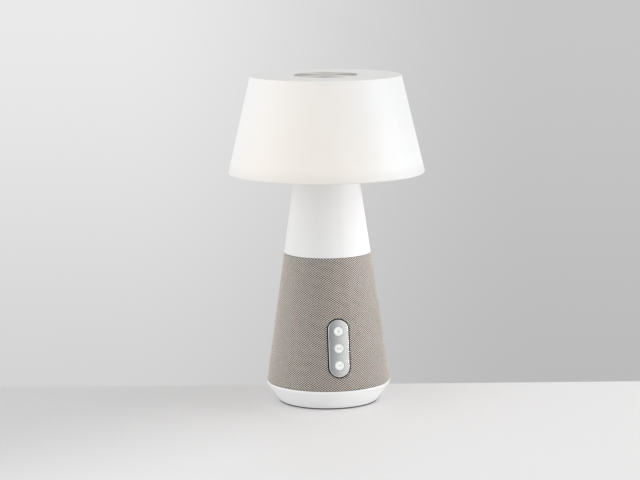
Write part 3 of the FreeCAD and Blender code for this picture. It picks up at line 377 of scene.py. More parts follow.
def fill(loops, spare, inside):
    """Triangles over a flat region: the Delaunay net of its loops and its spare points, without
    the triangles whose middle lies outside. It is worked out in millimetres."""
    flat = np.concatenate(loops + [spare])
    edges, start = [], 0
    for loop in loops:
        number = np.arange(len(loop))
        edges += (np.stack([number, (number + 1) % len(loop)], axis=1) + start).tolist()
        start += len(loop)
    found = delaunay_2d_cdt([Vector(p) for p in (flat * per_metre).tolist()], edges, [], 0, 1e-6)
    flat = np.array([tuple(p) for p in found[0]]) / per_metre
    threes = np.array([face for face in found[2] if len(face) == 3], dtype=np.int64)
    middle = flat[threes].mean(axis=1)
    return flat, threes[inside(middle[:, 0], middle[:, 1])]


def lattice(width, height, spacing, keep):
    """Points of an even grid about the origin for which keep(x, y) holds."""
    x, y = np.meshgrid(dense(-width / 2, width / 2, spacing), dense(-height / 2, height / 2, spacing))
    x, y = x.ravel(), y.ravel()
    held = keep(x, y)
    return np.stack([x[held], y[held]], axis=1)


def quarter_round(offset, height, radius, way, steps=6):
    """(offset, height) steps of a rounded edge, from level with the face to upright. Way is +1 where
    the face lies inside the path, and -1 where it lies outside."""
    t = np.linspace(0, np.pi / 2, steps + 1)
    return [(offset - way * radius * (1 - math.sin(a)), height - radius * (1 - math.cos(a))) for a in t]


def plate(outer, holes, panel, spacing):
    """Closed plate that follows the cone: a rounded outer edge, holes with softened mouths,
    and level faces netted between them."""
    place = lambda x, y, out: on_cone(x, y, out, panel)
    back = [(0, -panel_depth)]
    mouth = quarter_round(0, panel_proud, hole_edge, -1, 4) + back
    shells = [rim(outer, quarter_round(0, panel_proud, panel_edge, 1) + back, place)]
    shells += [rim(path, mouth, place) for path in holes]
    half = (panel["width"] / 2, panel["length"] / 2)

    def inside(x, y, inset, outset):
        held = distance_to_box(x, y, (0, 0), half[0], half[1], half[0]) < -inset
        for path in holes:
            size = at_offset(path, 0)
            centre = (size.max(axis=0) + size.min(axis=0)) / 2
            reach = (size.max(axis=0) - size.min(axis=0)) / 2
            held &= distance_to_box(x, y, centre, reach[0], reach[1], path[2]) > outset
        return held

    for level, inset, outset in ((panel_proud, panel_edge, hole_edge), (-panel_depth, 0.0, 0.0)):
        loops = [at_offset(outer, -inset)] + [at_offset(path, outset) for path in holes]
        margin = spacing * 0.55
        spare = lattice(
            2 * half[0], 2 * half[1], spacing, lambda x, y: inside(x, y, inset + margin, outset + margin)
        )
        flat, threes = fill(loops, spare, lambda x, y: inside(x, y, inset, outset))
        points = place(flat[:, 0], flat[:, 1], np.full(len(flat), level))
        first, second, third = (points[threes[:, k]] for k in range(3))
        up = np.cross(second - first, third - first)
        out = first * [1, 1, 0]
        wrong = (np.einsum("ij,ij->i", up, out) < 0) == (level > 0)
        threes[wrong] = threes[wrong][:, ::-1]
        shells.append((points, no_fours, threes))
    return shells


# ================================================================ shader building blocks
class Net:
    """A node tree with short calls for the nodes that the materials need."""

    def __init__(self, tree):
        self.tree = tree
        self.nodes = tree.nodes

    def add(self, kind, inputs=(), **settings):
        """New node with its settings, and its inputs by name or number."""
        node = self.nodes.new(kind)
        for name, value in settings.items():
            setattr(node, name, value)
        for key, value in dict(inputs).items():
            self.feed(node.inputs[key], value)
        return node

    def feed(self, socket, value):
        """Links a socket to another, or sets its constant."""
        if isinstance(value, bpy.types.NodeSocket):
            self.tree.links.new(value, socket)
        else:
            socket.default_value = value

    def math(self, operation, *values):
        """One step of arithmetic on numbers."""
        return self.add("ShaderNodeMath", enumerate(values), operation=operation).outputs[0]

    def smooth(self, value, low, high):
        """0 below low, 1 above high, and a smooth step between."""
        inputs = {"Value": value, "From Min": low, "From Max": high}
        return self.add("ShaderNodeMapRange", inputs, interpolation_type="SMOOTHSTEP").outputs[0]

    def between(self, value, low, high):
        """A value of 0 to 1 spread out from low to high."""
        inputs = {"Value": value, "To Min": low, "To Max": high}
        return self.add("ShaderNodeMapRange", inputs).outputs[0]

    def pick(self, choice, first, second):
        """The first number where the choice is 0, the second where it is 1."""
        return self.add("ShaderNodeMix", {0: choice, 2: first, 3: second}, data_type="FLOAT").outputs[0]

    def along(self, vector, way):
        """How far a point lies along a way: their dot product."""
        inputs = {0: vector, 1: way}
        return self.add("ShaderNodeVectorMath", inputs, operation="DOT_PRODUCT").outputs["Value"]

    def mix(self, share, first, second):
        """The first colour where the share is 0, the second where it is 1."""
        node = self.add("ShaderNodeMix", data_type="RGBA")
        self.feed(node.inputs[0], share)
        self.feed(node.inputs[6], first)
        self.feed(node.inputs[7], second)
        return node.outputs[2]

    def place(self):
        """Place of the point in the lamp's frame, in metres."""
        return self.add("ShaderNodeTexCoord").outputs["Object"]

    def scaled(self, vector, scale):
        """A vector multiplied part by part."""
        return self.add("ShaderNodeVectorMath", {0: vector, 1: scale}, operation="MULTIPLY").outputs[0]

    def noise(self, vector, scale, detail=2.0, roughness=0.5):
        """Noise of 0 to 1, with about as many lumps to a metre as its scale."""
        inputs = {"Vector": vector, "Scale": scale, "Detail": detail, "Roughness": roughness}
        return self.add("ShaderNodeTexNoise", inputs).outputs["Fac"]

    def apart(self, vector):
        """The x, y and z of a vector."""
        return self.add("ShaderNodeSeparateXYZ", {0: vector}).outputs

    def together(self, x, y, z):
        """Vector from x, y and z."""
        return self.add("ShaderNodeCombineXYZ", {0: x, 1: y, 2: z}).outputs[0]

    def bump(self, height, strength, distance):
        """Normal tilted by a height of 0 to 1 that stands for a distance."""
        inputs = {"Height": height, "Strength": strength, "Distance": distance}
        return self.add("ShaderNodeBump", inputs).outputs[0]


def effect(name, inputs, outputs, build):
    """Shader node group filled in by a function. Its outputs are floats, and so are its inputs but
    for those whose value is None, which are vectors."""
    tree = bpy.data.node_groups.new(name, "ShaderNodeTree")
    for label, value in inputs.items():
        kind = "NodeSocketVector" if value is None else "NodeSocketFloat"
        socket = tree.interface.new_socket(label, in_out="INPUT", socket_type=kind)
        if value is not None:
            socket.default_value = value
    for label in outputs:
        tree.interface.new_socket(label, in_out="OUTPUT", socket_type="NodeSocketFloat")
    net = Net(tree)
    given = net.add("NodeGroupInput").outputs
    result = net.add("NodeGroupOutput")
    for label, value in build(net, given).items():
        net.feed(result.inputs[label], value)
    return tree


def build_moulded(net, given):
    """Spark-eroded grain of moulded plastic: fine and middling noise, and slow clouds of tone."""
    place = net.place()
    fine = net.noise(place, given["Grain"], 3.0, 0.6)
    middling = net.noise(place, net.math("MULTIPLY", given["Grain"], 0.31), 2.0)
    clouds = net.noise(place, given["Clouds"], 2.0, 0.55)
    height = net.math("ADD", net.math("MULTIPLY", fine, 0.6), net.math("MULTIPLY", middling, 0.4))
    return {"Height": height, "Tone": fine, "Clouds": clouds}


def build_weave(net, given):
    """Plain weave laid on the bias. With a = x + y and b = x - y counted in threads, one set of
    threads runs along a and rises as sin(pi a), the other along b and rises as sin(pi b), each
    turned over in every second row. The higher thread shows, and pores open at the crossings."""
    x, y, _ = net.apart(given["Cloth"])
    a, b = net.math("ADD", x, y), net.math("SUBTRACT", x, y)

    def thread(along, across):
        middle = net.math("SUBTRACT", net.math("FRACT", across), 0.5)
        share = net.math("DIVIDE", middle, given["Half width"])
        square = net.math("MULTIPLY", share, share)
        crown = net.math("SQRT", net.math("MAXIMUM", net.math("SUBTRACT", 1.0, square), 0.0))
        odd = net.math("FLOORED_MODULO", net.math("FLOOR", across), 2.0)
        sign = net.math("SUBTRACT", 1.0, net.math("MULTIPLY", odd, 2.0))
        wave = net.math("MULTIPLY", net.math("SINE", net.math("MULTIPLY", along, math.pi)), sign)
        held = net.math("SUBTRACT", 1.0, net.smooth(net.math("ABSOLUTE", share), 0.9, 1.05))
        rise = net.math("ADD", net.math("MULTIPLY", wave, 0.28), net.math("MULTIPLY", crown, 0.45))
        rise = net.math("MULTIPLY", net.math("ADD", rise, 0.28), held)
        twist = net.together(net.math("MULTIPLY", along, 1.1), net.math("MULTIPLY", across, 9.0), 0.0)
        fibre = net.noise(twist, 1.0, 2.0, 0.6)
        return rise, fibre, held

    rise_a, fibre_a, held_a = thread(a, b)
    rise_b, fibre_b, held_b = thread(net.math("SUBTRACT", b, 1.0), a)
    over = net.math("GREATER_THAN", rise_a, rise_b)
    height = net.math("MAXIMUM", rise_a, rise_b)
    fibre = net.pick(over, fibre_b, fibre_a)
    solid = net.math("MAXIMUM", held_a, held_b)
    slub = net.noise(net.together(a, b, 0.0), 0.35, 3.0, 0.6)
    return {"Height": height, "Fibre": fibre, "Solid": solid, "Slub": slub}


def build_turning(net, given):
    """Fine rings left by turning about the Z axis: noise read along the radius alone."""
    x, y, _ = net.apart(net.place())
    radius = net.math("SQRT", net.math("ADD", net.math("MULTIPLY", x, x), net.math("MULTIPLY", y, y)))
    rings = net.noise(net.together(radius, 0.0, 0.0), given["Rings"], 4.0, 0.7)
    broad = net.noise(net.together(radius, 0.0, 0.0), net.math("MULTIPLY", given["Rings"], 0.12), 1.0)
    return {"Height": rings, "Broad": broad}


def build_streaks(net, given):
    """Rolled or drawn metal: noise stretched along Z."""
    place = net.scaled(net.place(), (1.0, 1.0, 0.06))
    fine = net.noise(place, given["Streaks"], 3.0, 0.6)
    marks = net.noise(net.place(), 90.0, 3.0, 0.6)
    return {"Height": fine, "Marks": marks}


def build_tracks(net, given):
    """Copper tracks under lacquer: cells of a stretched chequer, cut by noise into runs."""
    place = net.place()
    x, y, _ = net.apart(place)

    def from_middle(value):
        share = net.math("FRACT", net.math("MULTIPLY", value, given["Pitch"]))
        return net.math("ABSOLUTE", net.math("SUBTRACT", share, 0.5))

    way = net.math("GREATER_THAN", net.noise(net.scaled(place, (1.0, 1.0, 0.2)), 95.0, 0.0), 0.5)
    line = net.pick(way, from_middle(x), from_middle(y))
    runs = net.smooth(net.noise(place, 160.0, 1.0), 0.46, 0.5)
    track = net.math("MULTIPLY", net.math("SUBTRACT", 1.0, net.smooth(line, 0.16, 0.2)), runs)
    return {"Track": track}


moulded = effect(
    "moulded grain", {"Grain": 3000.0, "Clouds": 40.0}, ["Height", "Tone", "Clouds"], build_moulded
)
weave = effect(
    "bias weave", {"Cloth": None, "Half width": 0.36}, ["Height", "Fibre", "Solid", "Slub"], build_weave
)
turning = effect("turned rings", {"Rings": 4000.0}, ["Height", "Broad"], build_turning)
streaks = effect("drawn streaks", {"Streaks": 2500.0}, ["Height", "Marks"], build_streaks)
tracks = effect("copper tracks", {"Pitch": 900.0}, ["Track"], build_tracks)


def material(name, build, **settings):
    """Material with one Principled shader: constants set on its sockets, the rest fed by build."""
    made = bpy.data.materials.new(name)
    made.use_nodes = True
    net = Net(made.node_tree)
    shader = net.nodes["Principled BSDF"]
    for key, value in settings.items():
        shader.inputs[key.replace("_", " ")].default_value = value
    for key, value in build(net).items():
        net.feed(shader.inputs[key], value)
    made.diffuse_color = (0.6, 0.6, 0.6, 1.0)
    return made


def use(net, group, **inputs):
    """Outputs of a shader group with some of its inputs set."""
    node = net.add("ShaderNodeGroup", node_tree=group)
    for key, value in inputs.items():
        net.feed(node.inputs[key.replace("_", " ")], value)
    return node.outputs


def colour(red, green, blue):
    """Linear colour from display values of 0 to 255."""
    def linear(value):
        """The sRGB curve undone."""
        value /= 255
        return value / 12.92 if value <= 0.04045 else ((value + 0.055) / 1.055) ** 2.4

    return (linear(red), linear(green), linear(blue), 1.0)


def dimmed(tone, share):
    """A linear colour made darker by a share, still opaque."""
    return tuple(c * share for c in tone[:3]) + (1.0,)


# ================================================================ materials
def plastic(name, tone, rough=0.42, grain=3000.0, depth=0.02, spread=0.93, coat=0.0, **settings):
    """Moulded plastic: a fine eroded grain, and slow clouds in tone and gloss."""

    def build(net):
        out = use(net, moulded, Grain=grain)
        return {
            "Base Color": net.mix(out["Clouds"], dimmed(tone, spread), tone),
            "Roughness": net.between(out["Tone"], rough - 0.06, rough + 0.08),
            "Normal": net.bump(out["Height"], 0.25, depth * mm),
        }

    return material(name, build, Coat_Weight=coat, **settings)


def metal(name, tone, rough=0.3, streak=2500.0, **settings):
    """Drawn or rolled metal: streaked gloss with slow handling marks."""

    def build(net):
        out = use(net, streaks, Streaks=streak)
        return {
            "Base Color": net.mix(out["Marks"], dimmed(tone, 0.86), tone),
            "Roughness": net.between(out["Height"], rough - 0.08, rough + 0.14),
            "Normal": net.bump(out["Height"], 0.2, 0.01 * mm),
        }

    return material(name, build, Metallic=1.0, **settings)


def cloth_material():
    """Taupe polyester weave: light twisted threads with painted shade on their low parts, and pores painted
    near black for the black grille behind them, in its shade.
    """
    thread_light = colour(254, 242, 229)
    dark_fibre_and_painted_shade = colour(26, 23, 20)
    pore = colour(20, 18, 16)

    def build(net):
        sheet = net.add("ShaderNodeUVMap", uv_map="cloth").outputs[0]
        out = use(net, weave, Cloth=sheet, Half_width=0.2)
        # Painted shade: the low parts of the threads are darker.
        tone = net.mix(net.smooth(out["Height"], 0.62, 0.88), dark_fibre_and_painted_shade, thread_light)
        tone = net.mix(net.math("MULTIPLY", net.smooth(out["Fibre"], 0.45, 0.7), 0.12), tone, dark_fibre_and_painted_shade)
        tone = net.mix(net.math("MULTIPLY", net.smooth(out["Slub"], 0.5, 0.75), 0.08), tone, thread_light)
        height = net.math("ADD", out["Height"], net.math("MULTIPLY", out["Fibre"], 0.12))
        return {
            # Pores painted near black: the black grille behind them, with painted shade.
            "Base Color": net.mix(out["Solid"], pore, tone),
            "Roughness": net.math("SUBTRACT", 0.9, net.math("MULTIPLY", out["Solid"], 0.5)),
            "Normal": net.bump(height, 0.7, 0.25 * mm),
        }

    sheen = {"Sheen_Weight": 1.0, "Sheen_Roughness": 0.5, "Sheen_Tint": colour(255, 246, 236)}
    return material("woven_cloth_taupe", build, Specular_IOR_Level=1.0, **sheen)


def shade_material():
    """Opal shade: milky satin plastic. Its wall glows with painted light, standing in for the lamps' light
    through it. The painted glow is warmer on the side at a set azimuth, and dimmer towards the lower rim as
    painted shade. The roof gets no painted glow, and a lighter base colour than the wall."""
    milk, roof = colour(189, 189, 189), colour(232, 232, 229)
    turn = math.radians(painted_warm_azimuth)
    painted_warm_way = (math.sin(turn) / shade_high.x, -math.cos(turn) / shade_high.x, 0.0)
    rim_top = shade_low.z + 12 * mm

    def build(net):
        out = use(net, moulded, Grain=2200.0, Clouds=18.0)
        place = net.place()
        # Painted warm glow on one side of the shade, at a set azimuth.
        lit = net.smooth(net.along(place, painted_warm_way), 0.45, 0.95)
        warm = net.mix(lit, colour(248, 249, 250), colour(255, 243, 226))
        # Painted shade: the glow is dimmer towards the lower rim.
        painted_rim_shade = net.scaled(warm, (0.82, 0.82, 0.82))
        warm = net.mix(net.smooth(net.apart(place)[2], shade_low.z, rim_top), painted_rim_shade, warm)
        # Wall and roof: the wall has a darker base colour and the painted glow, the roof a lighter base
        # colour and no glow.
        facing = net.apart(net.add("ShaderNodeNewGeometry").outputs["Normal"])[2]
        upright = net.math("SUBTRACT", 1.0, net.smooth(net.math("ABSOLUTE", facing), 0.35, 0.9))
        tone = net.mix(upright, roof, net.mix(out["Clouds"], dimmed(milk, 0.975), milk))
        return {
            "Base Color": tone,
            "Emission Color": net.mix(upright, (0.0, 0.0, 0.0, 1.0), warm),
            "Roughness": net.between(out["Tone"], 0.34, 0.46),
            "Normal": net.bump(out["Height"], 0.12, 0.015 * mm),
        }

    return material("opal_shade", build, Emission_Strength=shade_painted_glow, Coat_Weight=0.08)


def lamp_material():
    """Frosted sleeve over the lamps, lit from behind in soft spots."""

    def build(net):
        out = use(net, moulded, Grain=1800.0)
        warm = net.mix(out["Clouds"], colour(255, 236, 205), colour(255, 226, 186))
        return {"Base Color": colour(242, 240, 235), "Emission Color": warm, "Roughness": 0.5}

    return material("frosted_diffuser", build, Emission_Strength=diffuser_glow)


def spun_material():
    """Spun aluminium: fine rings about the axis, which draw the reflections into fans."""
    bright = colour(214, 211, 206)

    def build(net):
        out = use(net, turning, Rings=5200.0)
        tangent = net.add("ShaderNodeTangent", direction_type="RADIAL", axis="Z").outputs[0]
        return {
            "Base Color": net.mix(out["Broad"], dimmed(bright, 0.9), bright),
            "Roughness": net.between(out["Height"], 0.42, 0.58),
            "Normal": net.bump(out["Height"], 0.35, 0.006 * mm),
            "Tangent": tangent,
        }

    return material("spun_aluminium", build, Metallic=1.0, Anisotropic=0.95, Anisotropic_Rotation=0.25)


def key_material():
    """White key with its sign printed in the sunken strokes."""
    white = colour(248, 248, 247)
    grey = colour(198, 199, 201)

    def build(net):
        out = use(net, moulded, Grain=3600.0)
        ink = net.add("ShaderNodeAttribute", attribute_name="ink").outputs["Fac"]
        return {
            "Base Color": net.mix(ink, net.mix(out["Clouds"], dimmed(white, 0.96), white), grey),
            "Roughness": net.math("ADD", 0.3, net.math("MULTIPLY", out["Tone"], 0.12)),
            "Normal": net.bump(out["Height"], 0.12, 0.01 * mm),
        }

    return material("key_white", build, Coat_Weight=0.15)


def rubber(name, tone, rough=0.72):
    """Matt rubber: a coarse grain and little gloss."""
    return plastic(name, tone, rough=rough, grain=2400.0, depth=0.05, spread=0.75, Specular_IOR_Level=0.2)


def board_material():
    """Green lacquered board with its copper tracks just showing."""
    green = colour(24, 92, 58)

    def build(net):
        out = use(net, tracks, Pitch=700.0)
        return {
            "Base Color": net.mix(out["Track"], green, colour(62, 128, 78)),
            "Roughness": net.math("ADD", 0.3, net.math("MULTIPLY", out["Track"], 0.12)),
            "Normal": net.bump(out["Track"], 0.3, 0.03 * mm),
        }

    return material("lacquered_board", build, Coat_Weight=0.4)


def winding_material():
    """Enamelled copper wire wound along Z: a round ridge for each turn, and painted shade in the grooves
    between turns.
    """
    copper = colour(196, 116, 72)

    def build(net):
        _, _, z = net.apart(net.place())
        ridge = net.math("ABSOLUTE", net.math("SINE", net.math("MULTIPLY", z, math.pi / (0.25 * mm))))
        return {
            # Painted shade: darker in the grooves between turns.
            "Base Color": net.mix(ridge, dimmed(copper, 0.4), copper),
            "Roughness": net.math("SUBTRACT", 0.42, net.math("MULTIPLY", ridge, 0.14)),
            "Normal": net.bump(ridge, 0.6, 0.1 * mm),
        }

    return material("wound_copper", build, Metallic=0.9, Coat_Weight=0.3)


def paper_material():
    """Pressed paper pulp: matted fibres in two sizes."""
    dark = colour(40, 40, 42)

    def build(net):
        place = net.place()
        fibres = net.noise(place, 900.0, 5.0, 0.75)
        mat = net.noise(place, 260.0, 3.0, 0.6)
        return {
            "Base Color": net.mix(mat, dark, dimmed(dark, 1.9)),
            "Roughness": net.math("ADD", 0.78, net.math("MULTIPLY", fibres, 0.15)),
            "Normal": net.bump(fibres, 0.5, 0.08 * mm),
        }

    return material("pressed_paper", build)


def make_materials():
    """Every finish of the lamp by a short name."""
    return {
        "shade": shade_material(),
        "white": plastic(
            "satin_white", colour(235, 235, 235), rough=0.58, spread=0.97, Specular_IOR_Level=0.3
        ),
        # The skirt's white is a lighter copy of the satin white: painted light that brightens its
        # downward-facing side.
        "skirt": plastic(
            "satin_white_painted_lighter", colour(247, 247, 247), rough=0.4, spread=0.98, coat=0.05
        ),
        "cloth": cloth_material(),
        "rubber": rubber("black_rubber", colour(9, 9, 10)),
        "panel": plastic(
            "silver_grey_panel", colour(213, 214, 214), rough=0.22, grain=3400.0, depth=0.008, Metallic=0.95
        ),
        "key": key_material(),
        "spun": spun_material(),
        "lamp": lamp_material(),
        "black": plastic(
            "black_plastic", colour(38, 38, 40), rough=0.5, grain=2200.0, depth=0.04, spread=0.7
        ),
        "steel": metal("zinc_plated_steel", colour(188, 188, 190), rough=0.32),
        "iron": plastic(
            "cast_iron_raw", colour(92, 92, 94), rough=0.62, grain=1500.0, depth=0.12, Metallic=0.8
        ),
        "board": board_material(),
        "chip": plastic("chip_epoxy", colour(36, 36, 38), rough=0.48, grain=4200.0, spread=0.8),
        "tin": metal("tinned_can", colour(206, 206, 204), rough=0.26, streak=1600.0),
        "cream": plastic("socket_nylon", colour(226, 220, 200), rough=0.45),
        "ferrite": plastic(
            "ground_ferrite", colour(70, 70, 74), rough=0.5, grain=1800.0, depth=0.05, spread=0.8
        ),
        "foam": plastic(
            "closed_cell_foam", colour(46, 46, 48), rough=0.9, grain=1300.0, depth=0.2, spread=0.6
        ),
        "paper": paper_material(),
        "winding": winding_material(),
        "spider": plastic(
            "varnished_cotton", colour(178, 142, 84), rough=0.7, grain=1600.0, depth=0.12, spread=0.8
        ),
        "wrap": plastic(
            "shrink_film", colour(54, 112, 168), rough=0.22, grain=900.0, depth=0.03, coat=0.5
        ),
        "nickel": metal("bright_nickel", colour(214, 211, 202), rough=0.16),
        "phosphor": plastic("phosphor_gel", colour(236, 214, 120), rough=0.25, grain=2600.0, coat=0.6),
        "film": plastic("white_film", colour(228, 228, 226), rough=0.4),
        "lead": rubber("lead_jacket", colour(30, 30, 32), rough=0.55),
    }


node_finishes = {
    "base_plate": "black", "base_screws": "steel", "ballast": "iron", "main_board": "board",
    "board_screws": "steel", "wireless_module": "tin", "board_chips": "chip", "board_sockets": "cream",
    "grille_frame": "black", "driver_baffle": "black", "driver_screws": "steel", "driver_gasket": "foam",
    "driver_basket": "steel", "driver_steel": "steel", "driver_magnet": "ferrite", "driver_spider": "spider",
    "driver_surround": "rubber", "voice_coil": "winding", "driver_cone": "paper", "driver_dust_cap": "paper",
    "sound_deflector": "black", "bulkhead": "black", "neck_screws": "steel", "battery_cradle": "black",
    "battery_cell": "wrap", "battery_tabs": "nickel", "key_board": "board", "key_switches": "chip",
    "panel_screws": "steel", "port_board": "board", "usb_socket": "tin", "power_switch": "chip",
    "microphone": "tin", "led_strip": "film", "led_chips": "phosphor", "touch_board": "board",
    "touch_spring": "steel", "clamp_ring": "steel", "shade_screws": "steel", "battery_lead": "lead",
    "lamp_lead": "lead", "speaker_lead": "lead", "panel_leads": "lead",
}


def finish_inner_nodes(finish):
    """Gives each CAD node that keeps its shape its material."""
    for node, name in node_finishes.items():
        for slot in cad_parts[node].material_slots:
            slot.material = finish[name]


# ================================================================ base, neck, shade and disc
def turned_piece(name, profile, segments, material, node, slot, **settings):
    """Shell of revolution on the housing, in place of a CAD node."""
    make_piece(name, turned(profile, segments), material, "housing", [node], slot, **settings)


def base_skirt(finish):
    """White skirt: straight from the lip under the cloth in to the foot, softened all round."""
    low, high = skirt_low.z, skirt_high.z
    top, bottom = cone_radius(high), foot_high.x + 0.6 * mm
    lip, lip_height = top + 0.3 * mm, high - 1.3 * mm
    bore, rebate = 38.0 * mm, 38.1 * mm
    wall, ledge = 2.6 * mm, 1.6 * mm
    floor, ceiling = low + 2.0 * mm, high - wall
    taper = (lip - bottom) / (lip_height - low)
    profile = outline([
        (bottom, low, 0.8 * mm),
        (lip, lip_height, 0.8 * mm),
        (top, high, 0.4 * mm),
        (bore, high, 0.0),
        (bore, high - ledge, 0.0),
        (bottom + (ceiling - low) * taper - wall, ceiling, 0.0),
        (rebate + 0.6 * mm, floor, 0.0),
        (rebate, floor, 0.0),
        (rebate, low, 0.0),
    ])
    turned_piece("base_skirt", profile, 256, finish["skirt"], "base_ring", "white_plastic")


def foot_rubber(finish):
    """Rubber ring with two shallow grooves round its sole."""
    outer, low, high = foot_high.x, foot_low.z, foot_high.z
    inner = outer - 6.0 * mm
    mouth, bed, deep, soft = 0.4 * mm, 0.3 * mm, 0.4 * mm, 0.1 * mm
    corners = [(outer, high, 0.0), (inner, high, 0.0), (inner, low, 0.3 * mm)]
    for middle in (inner + 2.0 * mm, inner + 4.0 * mm):
        corners += [(middle - mouth, low, soft), (middle - bed, low + deep, soft)]
        corners += [(middle + bed, low + deep, soft), (middle + mouth, low, soft)]
    corners.append((outer, low, 0.3 * mm))
    turned_piece("foot_rubber", outline(corners), 224, finish["rubber"], "foot_ring", "black_rubber")


def neck_cone(finish):
    """Plain white cone, softened at its top edge, with a hole for the lamp's lead."""
    low, high = neck_low.z, neck_high.z
    wall = 2.2 * mm
    profile = outline([
        (cone_radius(low), low, 0.5 * mm),
        (cone_radius(high), high, 1.2 * mm),
        (post_bore, high, 0.0),
        (post_bore, high - wall, 0.0),
        (cone_radius(high) - wall, high - wall, 0.0),
        (cone_radius(low) - wall, low, 0.0),
    ])
    turned_piece("neck_cone", profile, 256, finish["white"], "neck_shell", "white_plastic")


def lamp_shade(finish):
    """Opal shade: a flared wall rolled over into a flat roof, with the disc's recess and hub."""
    low, high = shade_low.z, shade_high.z
    recess = disc_high.x + 0.15 * mm
    floor = disc_low.z - 0.8 * mm
    bottom, top = 80.6 * mm, 61.8 * mm
    wall, roof = 2.06 * mm, 2.0 * mm
    hub, hub_deep = 9.0 * mm, 2.7 * mm
    pan, pan_top = 29.0 * mm, 32.0 * mm
    ceiling = high - roof
    inner_top = top + (bottom - top) * roof / (high - low) - wall
    profile = outline([
        (bottom, low, 0.85 * mm),
        (top, high, 0.8 * mm),
        (recess, high, 0.3 * mm),
        (recess, floor, 0.0),
        (hub, floor, 0.0),
        (hub, floor - hub_deep, 0.0),
        (pan, floor - hub_deep, 0.6 * mm),
        (pan_top, ceiling, 1.2 * mm),
        (inner_top, ceiling, 1.2 * mm),
        (bottom - wall, low, 0.6 * mm),
    ], step=6.0)
    turned_piece("lamp_shade", profile, 288, finish["shade"], "shade", "shade_opal")


def touch_plate(finish):
    """Spun disc: dished by a square law, 0.06 mm deep at the middle, with a polished chamfer."""
    radius, low, high = disc_high.x, disc_low.z, disc_high.z
    chamfer, ring, hollow = 0.4 * mm, 0.8 * mm, 0.06 * mm
    reach = dense(radius - chamfer, 0.0, ring)
    dish = high - hollow * (1 - (reach / radius) ** 2)
    top = np.stack([reach, dish], axis=1)
    edge = np.array([(0.0, low), (radius, low), (radius, high - chamfer)])
    profile = np.concatenate([edge, top])
    turned_piece("touch_plate", profile, 224, finish["spun"], "touch_disc", "spun_metal", sharp=20)


def lamp_stem(finish):
    """White post between neck and shade, and the frosted sleeve over its lamps."""
    low, high = neck_high.z, post_high.z
    foot, stem, head = 18.2 * mm, 11.0 * mm, post_high.x
    flange = 2.4 * mm
    profile = outline([
        (foot, low, 0.0),
        (foot, low + flange, 0.7 * mm),
        (stem, low + flange, 0.6 * mm),
        (stem, high - flange, 0.6 * mm),
        (head, high - flange, 0.5 * mm),
        (head, high, 0.0),
        (post_bore, high, 0.0),
        (post_bore, low, 0.0),
    ])
    turned_piece("lamp_stem", profile, 160, finish["white"], "lamp_post", "white_plastic")
    low, high, outer = diffuser_low.z, diffuser_high.z, diffuser_high.x
    inner = outer - 1.3 * mm
    profile = outline([
        (outer, low, 0.3 * mm),
        (outer, high, 0.3 * mm),
        (inner, high, 0.2 * mm),
        (inner, low, 0.2 * mm),
    ])
    turned_piece("lamp_sleeve", profile, 160, finish["lamp"], "led_diffuser", "diffuser_opal")


# ================================================================ cloth sleeve
def sleeve_point(turn, z, sink):
    """Point of the sleeve at an angle from the front and a height, sunk by a depth."""
    radius = cone_radius(z, -sink)
    return np.stack([radius * np.sin(turn), -radius * np.cos(turn), z], axis=-1)


def panel_offsets(turn, z, panel):
    """x across and y up the slope, in a panel's frame, of points on the cone. Points on the far half
    of the cone are put a metre away, out of any panel's reach."""
    turn = turn - (np.pi if panel["rear"] else 0.0)
    turn = (turn + np.pi) % (2 * np.pi) - np.pi
    radius, near = cone_radius(z), cone_radius(panel["height"])
    x = radius * np.sin(turn)
    y = cone_sine * (near - radius * np.cos(turn)) + cone_cosine * (z - panel["height"])
    x = np.where(np.abs(turn) > np.pi / 2, 1.0, x)
    return x, y


def pill_gap(turn, z, panel):
    """Signed distance from points on the cone to a panel's outline."""
    x, y = panel_offsets(turn, z, panel)
    half = panel["width"] / 2
    return distance_to_box(x, y, (0, 0), half, panel["length"] / 2, half)


def pill_path(panel, side=26):
    """A panel's outline, with even points up its straight sides."""
    return rounded_path(panel["width"], panel["length"], panel["width"] / 2, steps=22, side=side)


def seam_sink(turn, z):
    """Depth of the cloth's seam at the back: a bell curve across it."""
    behind = (turn - np.pi) * cone_radius(z) / seam_width
    return seam_depth * np.exp(-(behind**2))


